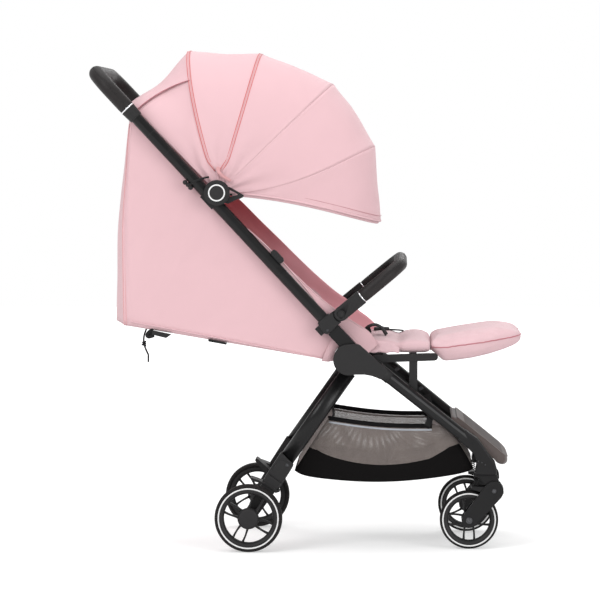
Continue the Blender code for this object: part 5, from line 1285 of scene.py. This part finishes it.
def seat_straps():
    """The hip strap's loop at the back of the seat, and the buckle on its short strap."""
    loops = {
        -0.105: (((0.13, 0.454), (0.133, 0.4715), (0.14, 0.4768), (0.148, 0.4778), (0.156, 0.475), (0.164, 0.4685),
                  (0.1725, 0.456)), 0.26),
        0.105: (((0.13, 0.454), (0.134, 0.461), (0.142, 0.464), (0.15, 0.4635), (0.16, 0.4605), (0.173, 0.456)), 0.0),
    }
    for y, (line, tilt) in loops.items():
        path = smooth_path([(x, y, z) for x, z in line], 8)
        sweep(f"hip_strap_{'right' if y < 0 else 'left'}", path, flat_section(0.016, 0.0026), WEB,
            up=Vector((0.1, -tilt, 1)), body="front_frame")
    widths = ((0.0, 0.013), (0.12, 0.0185), (0.5, 0.02), (0.88, 0.0185), (1.0, 0.013))
    outline = [(0.144 + 0.034 * s, w) for s, w in widths]
    ring = [(x, -w) for x, w in outline] + [(x, w) for x, w in reversed(outline)]
    count = len(ring)
    low = on_surface(seat_cushion, [Vector((0.16, 0, 0.6))])[0].z - 0.002
    solid = [(x, y, z) for z in (low, low + 0.0065) for x, y in ring]
    buckle = baked(bevel(tidy(piece("buckle_body", solid, prism(count), PLASTIC)), 0.0024, 4))
    path = [(x, 0, low + lift) for x, lift in ((0.174, 0.0016), (0.186, 0.0012), (0.198, 0.0004), (0.209, -0.0008))]
    tongue = sweep("buckle_strap", path, flat_section(0.025, 0.0022), WEB, up=Vector((0, 0, 1)))
    joined("crotch_buckle", [buckle, tongue], body="front_frame", node="harness_buckle")


seat_straps()


# Grips
def u_path(starts, half, far, corner, inner):
    """A bar's U as (distance, y): out along the right arm, round both corners and back."""
    right = [(d, -half) for d in starts]
    for a in fan(0, 6, 16):
        right.append((far - corner + corner * sin(a), -(half - corner) - corner * cos(a)))
    right += [(far, -y) for y in inner]
    return right + [(far, 0.0)] + [(d, -y) for d, y in reversed(right)]


def eased(points):
    """Sizes that draw a cover in at both of its ends."""
    return [0.9, 0.97] + [1.0] * (len(points) - 4) + [0.97, 0.9]


def grips():
    over = Vector((sin(PUSH_LEAN), 0, -cos(PUSH_LEAN)))
    along_up = Vector((cos(PUSH_LEAN), 0, sin(PUSH_LEAN)))
    reach, radius, start = 0.828, 0.0165, 0.7086
    starts = (start, start + 0.0012, start + 0.012, start + 0.03)
    path = u_path(starts, PUSH_Y, reach - radius, 0.055, (0.11, 0.06))
    points = [Vector(at(push_point(d), y)) for d, y in path]
    grip = tube("handle_grip_cover", points, radius, GRIP, 36, up=over, sizes=eased(points))
    middle = Vector(at(push_point(0.7965)))
    box = []
    for a in (-0.0095, 0.0095):
        for b in (-0.0174, 0.0174):
            for c in (-0.0073, 0.0073):
                box.append(middle + along_up * a + Vector((0, b, 0)) + over * c)
    pocket = tidy(piece("pocket", box,
        [(0, 1, 3, 2), (4, 6, 7, 5), (0, 4, 5, 1), (2, 3, 7, 6), (0, 2, 6, 4), (1, 5, 7, 3)], GRIP))
    cut(grip, pocket)
    for face in grip.data.polygons:
        face.use_smooth = True
    pieces = [grip]
    path, turns = frames(points, over)
    for lean in (14, 166):
        a, b = radius * 1.003 * cos(radians(lean)), radius * 1.003 * sin(radians(lean))
        seam = [p + side * a + up * b for p, (_, side, up) in zip(path, turns)][2:-2]
        pieces.append(tube(f"grip_seam_{lean}", smooth_path(seam, 4), 0.0005, TEXTURED, 6))
    joined("handle_grip_sewn", pieces, body="push_frame", node="handle_grip")
    # Bumper bar: padded cover from one ring to the other, then the arms with their eyes
    lean = BUMPER_LEAN
    ahead, up = Vector((cos(lean), 0, sin(lean))), Vector((-sin(lean), 0, cos(lean)))
    centre = Vector(at(BUMPER))
    path = u_path((0.058, 0.059, 0.07, 0.085), BUMPER_Y, 0.163, 0.06, (0.1, 0.05))
    points = [centre + ahead * d + Vector((0, y, 0)) for d, y in path]
    pieces = [sweep("bumper_cover", points, round_section(0.0135, 0.0142, 32), GRIP, up=up, sizes=eased(points))]
    path, turns = frames(points, up)
    seam = [p + side * 0.0133 + over * 0.003 for p, (_, side, over) in zip(path, turns)][3:-3]
    pieces.append(tube("bumper_seam", smooth_path(seam, 4), 0.0005, TEXTURED, 6))
    for label, side in SIDES:
        outline = [(BUMPER_EYE, -0.015), (BUMPER_EYE, 0.015)]
        outline += [(0.0152 * cos(a), 0.0152 * sin(a)) for a in fan(90, 10, 19)]
        flat = [bumper_point(a, b) for a, b in outline]
        arm = slab(f"bumper_arm_{label}", flat, side * 0.196, side * 0.2158, PLASTIC, round_off=0.0016)
        # The button's hole, then the bore for the pin behind it
        for radius, deep, y, steps in ((0.0084, 0.01, 0.2158, 40), (0.0049, 0.02, 0.198, 32)):
            cut(arm, rod("hole", radius, -deep, 0.02, BUMPER, side * y, side, PLASTIC, steps))
        pieces.append(arm)
    joined("bumper_bar_covered", pieces, body="bumper", node="bumper_bar")
    # Clamp covers that carry the arm's line on across the push tube
    for label, side in SIDES:
        hollow = [(0.0172 * cos(a), 0.0172 * sin(a)) for a in fan(232, -10.4, 11)]
        outline = hollow + [(-0.044, 0.0158), (-0.05, 0.015), (-0.053, 0.0118), (-0.0535, -0.0105), (-0.05, -0.015),
            (-0.044, -0.0158)]
        flat = [bumper_point(a, b) for a, b in outline]
        slab(f"clamp_cover_{label}", flat, side * 0.212, side * 0.2168, PLASTIC, body="push_frame", round_off=0.0012)
        screw(f"clamp_screw_{label}", bumper_point(-0.0445, -0.0085), side * 0.217, side, 0.003, "push_frame")
        ring = [(0.0066, 0.0), (0.0066, 0.0005), (0.006, 0.0005), (0.006, 0.0)]
        body = f"bumper_button_{label}"
        lathe(f"bumper_button_ring_{label}", ring, at(BUMPER, side * 0.2166), side, TEXTURED, 48, body=body)


grips()


# Castings and legs
def rounded(points, steps=3):
    """A closed outline through points, its corners eased."""
    return [(p.x, p.z) for p in smooth_path([(x, 0, z) for x, z in points], steps, closed=True)]


def castings():
    for label, side in SIDES:
        # Hub cap, sloping down to the front leg
        outline = [(HUB_X + 0.033 * cos(a), HUB_Z + 0.033 * sin(a)) for a in fan(92, 8, 25)]
        outline += [(0.1085, 0.3787), (0.127, 0.3786), (0.1418, 0.3756), (0.1524, 0.3716), (0.16, 0.368),
            (0.165, 0.37), (0.1745, 0.385), (0.1738, 0.3895), (0.156, 0.405), (0.129, 0.4305), (0.117, 0.441),
            (0.111, 0.4436)]
        cap = slab("hub_cap", outline, side * 0.2122, side * 0.2236, PLASTIC, round_off=0.0)
        for vertex in cap.data.vertices:
            down = (vertex.co.x - HUB_X) * cos(LEG_LEAN) + (vertex.co.z - HUB_Z) * sin(LEG_LEAN)
            if abs(vertex.co.y) > 0.22 and down > 0.04:
                vertex.co.y -= side * (down - 0.04) * 0.235
        baked(bevel(cap, 0.0026, 4, 30))
        socket = tube("leg_socket", [(*leg_point(0.06), 0), (*leg_point(0.0935), 0)], 0.0136, PLASTIC, 28)
        for vertex in socket.data.vertices:
            vertex.co = Vector((vertex.co.x, vertex.co.z + side * 0.1992, vertex.co.y))
        socket.data.flip_normals()
        pin = rod("hub_pin", 0.0058, -0.0535, 0.0, (HUB_X, HUB_Z), side * 0.213, side, SCREW, 28)
        joined(f"hub_cover_{label}", [cap, socket, pin], body="front_frame", node=f"hub_housing_{label}")
        # Rear leg: a flat oval tube on its round knuckle
        y = side * 0.17285
        path = [at(rear_point(d), y) for d in (0.024, 0.262)]
        up = Vector((sin(REAR_LEAN), 0, -cos(REAR_LEAN)))
        leg = sweep("rear_oval", path, round_section(0.0127, 0.0164, 40, 0.85), TUBE, up=up)
        profile = [(0.0063, 0.0125), (0.029, 0.0125), (0.03, 0.0115), (0.03, -0.0115), (0.029, -0.0125),
            (0.0063, -0.0125)]
        knuckle = lathe("rear_knuckle", profile, (HUB_X, y, HUB_Z), side, TUBE, 64)
        joined(f"rear_leg_oval_{label}", [leg, knuckle], body="rear_frame", node=f"rear_leg_{label}")
        # Rear casting, mudguard and stub axle
        shape = [(0.2475, -0.0188), (0.319, -0.0158), (0.3155, 0.0232), (0.286, 0.0215), (0.269, 0.0205),
            (0.256, 0.0195), (0.252, 0.014), (0.25, 0.0), (0.248, -0.01)]
        casting = slab("casting", [rear_point(d, -w) for d, w in shape], side * 0.1592, side * 0.189, PLASTIC,
            round_off=0.0022)
        shape = [(0.2635, -0.0123), (0.289, -0.0135), (0.317, -0.0145), (0.314, 0.0216), (0.27, 0.019),
            (0.255, 0.0176), (0.256, 0.006), (0.259, -0.006)]
        step = slab("casting_step", [rear_point(d, -w) for d, w in shape], side * 0.188, side * 0.1906, PLASTIC,
            round_off=0.0009)
        axle = REAR_AXLE
        strut = [rear_point(0.3, 0.015), rear_point(0.3, -0.02), (axle[0] + 0.016, axle[1] - 0.001),
            (axle[0], axle[1] - 0.016), (axle[0] - 0.0155, axle[1])]
        lower = slab("casting_lower", strut, side * 0.1645, side * 0.1968, PLASTIC, round_off=0.002)
        stub = rod("stub", 0.0033, -0.038, 0.0, axle, side * 0.2285, side, SCREW, 24)
        arc = [(-0.1172, 0.157), (-0.102, 0.152), (-0.0888, 0.1466), (-0.0735, 0.1388), (-0.0585, 0.1298),
            (-0.054, 0.1262)]
        arc += [(axle[0] + 0.0765 * cos(a), axle[1] + 0.0765 * sin(a)) for a in fan(42, 4, 11)]
        guard = slab("mudguard", arc, side * 0.1565, side * 0.1992, PLASTIC, round_off=0.001)
        joined(f"rear_casting_{label}", [casting, step, lower, stub, guard], body="rear_frame",
            node=f"rear_bracket_{label}")
        screw(f"rear_casting_screw_{label}", rear_point(0.2615, -0.0073), side * 0.1908, side, 0.0042, "rear_frame")
        # Front foot: the leg flows down into the castor's socket
        shape = [leg_point(0.288, -0.0132), leg_point(0.312, -0.0138), (0.359, 0.206), (0.3645, 0.192), (0.365, 0.18),
            (0.3622, 0.168), (0.3612, 0.1602), (0.4082, 0.1602), (0.4086, 0.174), (0.4046, 0.188), (0.3965, 0.1985),
            leg_point(0.322, 0.0145), leg_point(0.3, 0.0134), leg_point(0.288, 0.013)]
        foot = slab("foot", shape, side * 0.1312, side * 0.1765, DARK, round_off=0.0)
        for vertex in foot.data.vertices:
            if abs(vertex.co.y) > 0.15:
                vertex.co.y -= side * 0.003 * min(max((0.215 - vertex.co.z) / 0.05, 0.0), 1.0)
        baked(bevel(foot, 0.004, 4, 30))
        joined(f"front_foot_cast_{label}", [foot], body="front_frame", node=f"front_foot_{label}")
        for k, (x, z) in enumerate(((0.369, 0.1906), (0.3765, 0.1879), (0.3836, 0.1832))):
            screw(f"foot_hole_{k}_{label}", (x, z), side * 0.1752, side, 0.0016, "front_frame")
        screw(f"castor_pivot_screw_{label}", (0.4028, 0.126), side * 0.1718, side, 0.0048, f"castor_arm_{label}")
        screw(f"castor_axle_cap_{label}", (0.3498, 0.0627), side * 0.1718, side, 0.007, f"castor_arm_{label}")
        for k, d in enumerate((0.112, 0.18)):
            x, z = leg_point(d, 0.002)
            y = side * (0.199 - 0.038 * (d - 0.078) / 0.244 - 0.0123)
            screw(f"leg_screw_{k}_{label}", (x, z), y, -side, 0.0052, "front_frame")


castings()


def footrest():
    """The board between the front legs: a rolled rim round a fine anti-slip field."""
    shape = [
        (0.262, 0.008), (0.38, 0.0), (0.398, -0.002), (0.4075, 0.002), (0.41, 0.01), (0.404, 0.0185), (0.39, 0.0218),
        (0.274, 0.022), (0.2635, 0.0185),
    ]
    half, count = 0.1275, 13
    cx, cz = leg_point(0.334, 0.011)
    outline = rounded([leg_point(*place) for place in shape], 4)
    points = []
    for k in range(count):
        across = -1 + 2 * k / (count - 1)
        y = half * sin(across * pi / 2) if abs(across) < 1 else half * across
        shrink = 0.965 if abs(across) == 1 else 1.0
        draw = 0.01 * abs(y / half) ** 6
        for x, z in outline:
            down = ((x - cx) * cos(LEG_LEAN) + (z - cz) * sin(LEG_LEAN)) / 0.074
            pull = draw * max(down, 0.0)
            points.append((cx + (x - cx) * shrink - pull * cos(LEG_LEAN), y,
                cz + (z - cz) * shrink - pull * sin(LEG_LEAN)))
    n = len(outline)
    faces = strips(count, n) + [tuple(range(n)), tuple(range((count - 1) * n, count * n))]
    board = baked(bevel(tidy(piece("board", points, faces, BOARD)), 0.0022, 3, 50))
    pieces = [board]
    field = [leg_point(*place) for place in ((0.282, 0.0212), (0.386, 0.0212), (0.386, 0.0226), (0.282, 0.0226))]
    pieces.append(slab("field", field, -0.112, 0.112, TREAD, round_off=0.0006))
    x, z = leg_point(0.287, 0.006)
    for label, side in SIDES:
        pieces.append(tube("lug", [(x, side * 0.122, z), (x, side * 0.1535, z)], 0.006, BOARD, 20))
    joined("footrest_board", pieces, body="front_frame", node="footrest")


footrest()


def small_fittings():
    for label, side in SIDES:
        y = side * 0.2025
        # The open triangle that holds the front bow, with its hole
        outer = [(-0.1625, 0.7765), (-0.1545, 0.7725), (-0.1305, 0.7585), (-0.13, 0.7555), (-0.133, 0.7545),
            (-0.164, 0.7395), (-0.17, 0.742)]
        frame_piece = slab("bow_frame", outer, y - 0.003, y + 0.003, PLASTIC, round_off=0.0)
        hole = slab("hole", [(-0.16, 0.769), (-0.143, 0.7605), (-0.144, 0.7585), (-0.16, 0.7545)], y - 0.01, y + 0.01,
            PLASTIC, round_off=0.0)
        cut(frame_piece, hole)
        bevel(frame_piece, 0.0008)
        joined(f"bow_frame_{label}", [baked(frame_piece)], body="push_frame")
        # Elastic loop round the push tube with its toggle
        place = [(-0.2477, 0.779), (-0.24, 0.784), (-0.232, 0.788), (-0.223, 0.7915), (-0.214, 0.7945),
            (-0.205, 0.7965)]
        depth = (0.2055, 0.2105, 0.213, 0.2125, 0.2085, 0.202)
        path = smooth_path([(x, side * d, z) for (x, z), d in zip(place, depth)], 6)
        tube(f"toggle_loop_{label}", path, 0.0022, WEB, 10, body="push_frame")
        for k, (x, z) in enumerate(((-0.2545, 0.7852), (-0.248, 0.78), (-0.243, 0.7742))):
            ball = [(0.0, 0.0052), (0.0036, 0.0042), (0.0052, 0.0012), (0.005, -0.0026), (0.0026, -0.005),
                (0.0, -0.0052)]
            lathe(f"toggle_{k}_{label}", ball, (x, side * 0.205, z), side, PLASTIC, 24, body="push_frame", ring=False)
        # Clip that holds the side cloth to the tube
        shape = ((-0.0165, -0.004), (-0.012, -0.007), (0.012, -0.007), (0.017, -0.003), (0.016, 0.005),
            (0.01, 0.0072), (-0.011, 0.0072), (-0.0165, 0.0045))
        shape = [push_point(0.263 + a, 0.037 + b) for a, b in shape]
        clip = [slab("clip", shape, side * 0.1885, side * 0.205, PLASTIC, round_off=0.0012)]
        for k in range(4):
            bar = ((-0.0014, -0.0045), (0.0014, -0.0045), (0.0014, 0.0045), (-0.0014, 0.0045))
            bar = [push_point(0.252 + 0.007 * k + a, 0.0372 + b) for a, b in bar]
            clip.append(slab("clip_rib", bar, side * 0.2045, side * 0.206, TEXTURED, round_off=0.0004))
        joined(f"cloth_clip_{label}", clip, body="push_frame")
        # Zip pull with its tape
        route = [(-0.185, side * 0.19, 0.812), (-0.183, side * 0.1915, 0.806), (-0.176, side * 0.1908, 0.799),
            (-0.159, side * 0.1885, 0.7875)]
        pull = sweep("pull", smooth_path(route, 5), flat_section(0.0068, 0.0012), SALMON_PALE,
            up=Vector((0, side, 0)))
        outline = [(-0.1885, 0.81), (-0.1815, 0.8105), (-0.18, 0.816), (-0.185, 0.8195), (-0.1905, 0.816)]
        slider = slab("slider", outline, side * 0.1885, side * 0.1912, SALMON_PALE)
        joined(f"zip_pull_{label}", [pull, slider], body="push_frame")
        # Line of the sleeve on the push tube
        for k, d in enumerate((0.583, 0.6366)):
            band(f"tube_line_{k}_{label}", push_point(d), PUSH_LEAN, TUBE_R + 0.00022, 0.0012, PLASTIC, "push_frame",
                side * PUSH_Y)
    # Webbing adjuster and its tail under the bag's hem
    tail = smooth_path([(-0.325, -0.172, 0.469), (-0.333, -0.172, 0.465), (-0.3375, -0.172, 0.459),
        (-0.335, -0.172, 0.456), (-0.324, -0.172, 0.459)], 5)
    strap = sweep("strap", tail, flat_section(0.01, 0.0014), WEB, up=Vector((0, -1, 0)))
    plate = slab("plate", [(-0.3275, 0.4688), (-0.287, 0.4602), (-0.2975, 0.4525), (-0.329, 0.46)], -0.178, -0.164,
        PLASTIC, round_off=0.001)
    joined("bag_strap_adjuster", [strap, plate], body="push_frame")
    slab("bag_hem_tab", [(-0.2077, 0.45), (-0.1682, 0.4425), (-0.1688, 0.4385), (-0.2077, 0.4455)], -0.1785, -0.168,
        WEB, body="push_frame")


small_fittings()


# The solids that stay, with better surfaces and softened edges
KEPT = {
    TUBE: ("front_leg", "push_tube", "rear_crossbar"),
    PLASTIC: (
        "seat_rail", "handle_collar", "canopy_bracket", "bumper_clamp", "bumper_button", "fold_button", "brake_pedal",
    ),
    DARK: ("castor_swivel", "castor_arm", "castor_spring"),
}
for surface, stems in KEPT.items():
    for name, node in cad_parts.items():
        if name.startswith(stems) and not node.hide_render:
            node.data.materials.clear()
            node.data.materials.append(surface)
            if surface != TUBE:
                bevel(node, 0.0007, 2, 32)


# Bright and white rings
def rings():
    rim = [(0.0151, 0.0002), (0.0153, 0.001), (0.0179, 0.001), (0.0181, 0.0002), (0.0181, -0.0006), (0.0151, -0.0006)]
    cap = [(0.0, 0.0012), (0.012, 0.001), (0.0142, 0.0006), (0.0148, 0.0), (0.0, -0.0002)]
    for label, side in SIDES:
        band(f"handle_ring_{label}", push_point(0.7092), PUSH_LEAN, 0.017, 0.003, CHROME, "push_frame", side * PUSH_Y)
        place = bumper_point(BUMPER_EYE, 0)
        band(f"bumper_ring_{label}", place, BUMPER_LEAN, 0.0142, 0.0026, CHROME, "bumper", side * BUMPER_Y)
        centre = at(HINGE, side * 0.2244)
        lathe(f"hinge_ring_{label}", rim, centre, side, WHITE, 72, body="push_frame")
        lathe(f"hinge_cap_{label}", cap, centre, side, TEXTURED, 48, body="push_frame", ring=False)


rings()
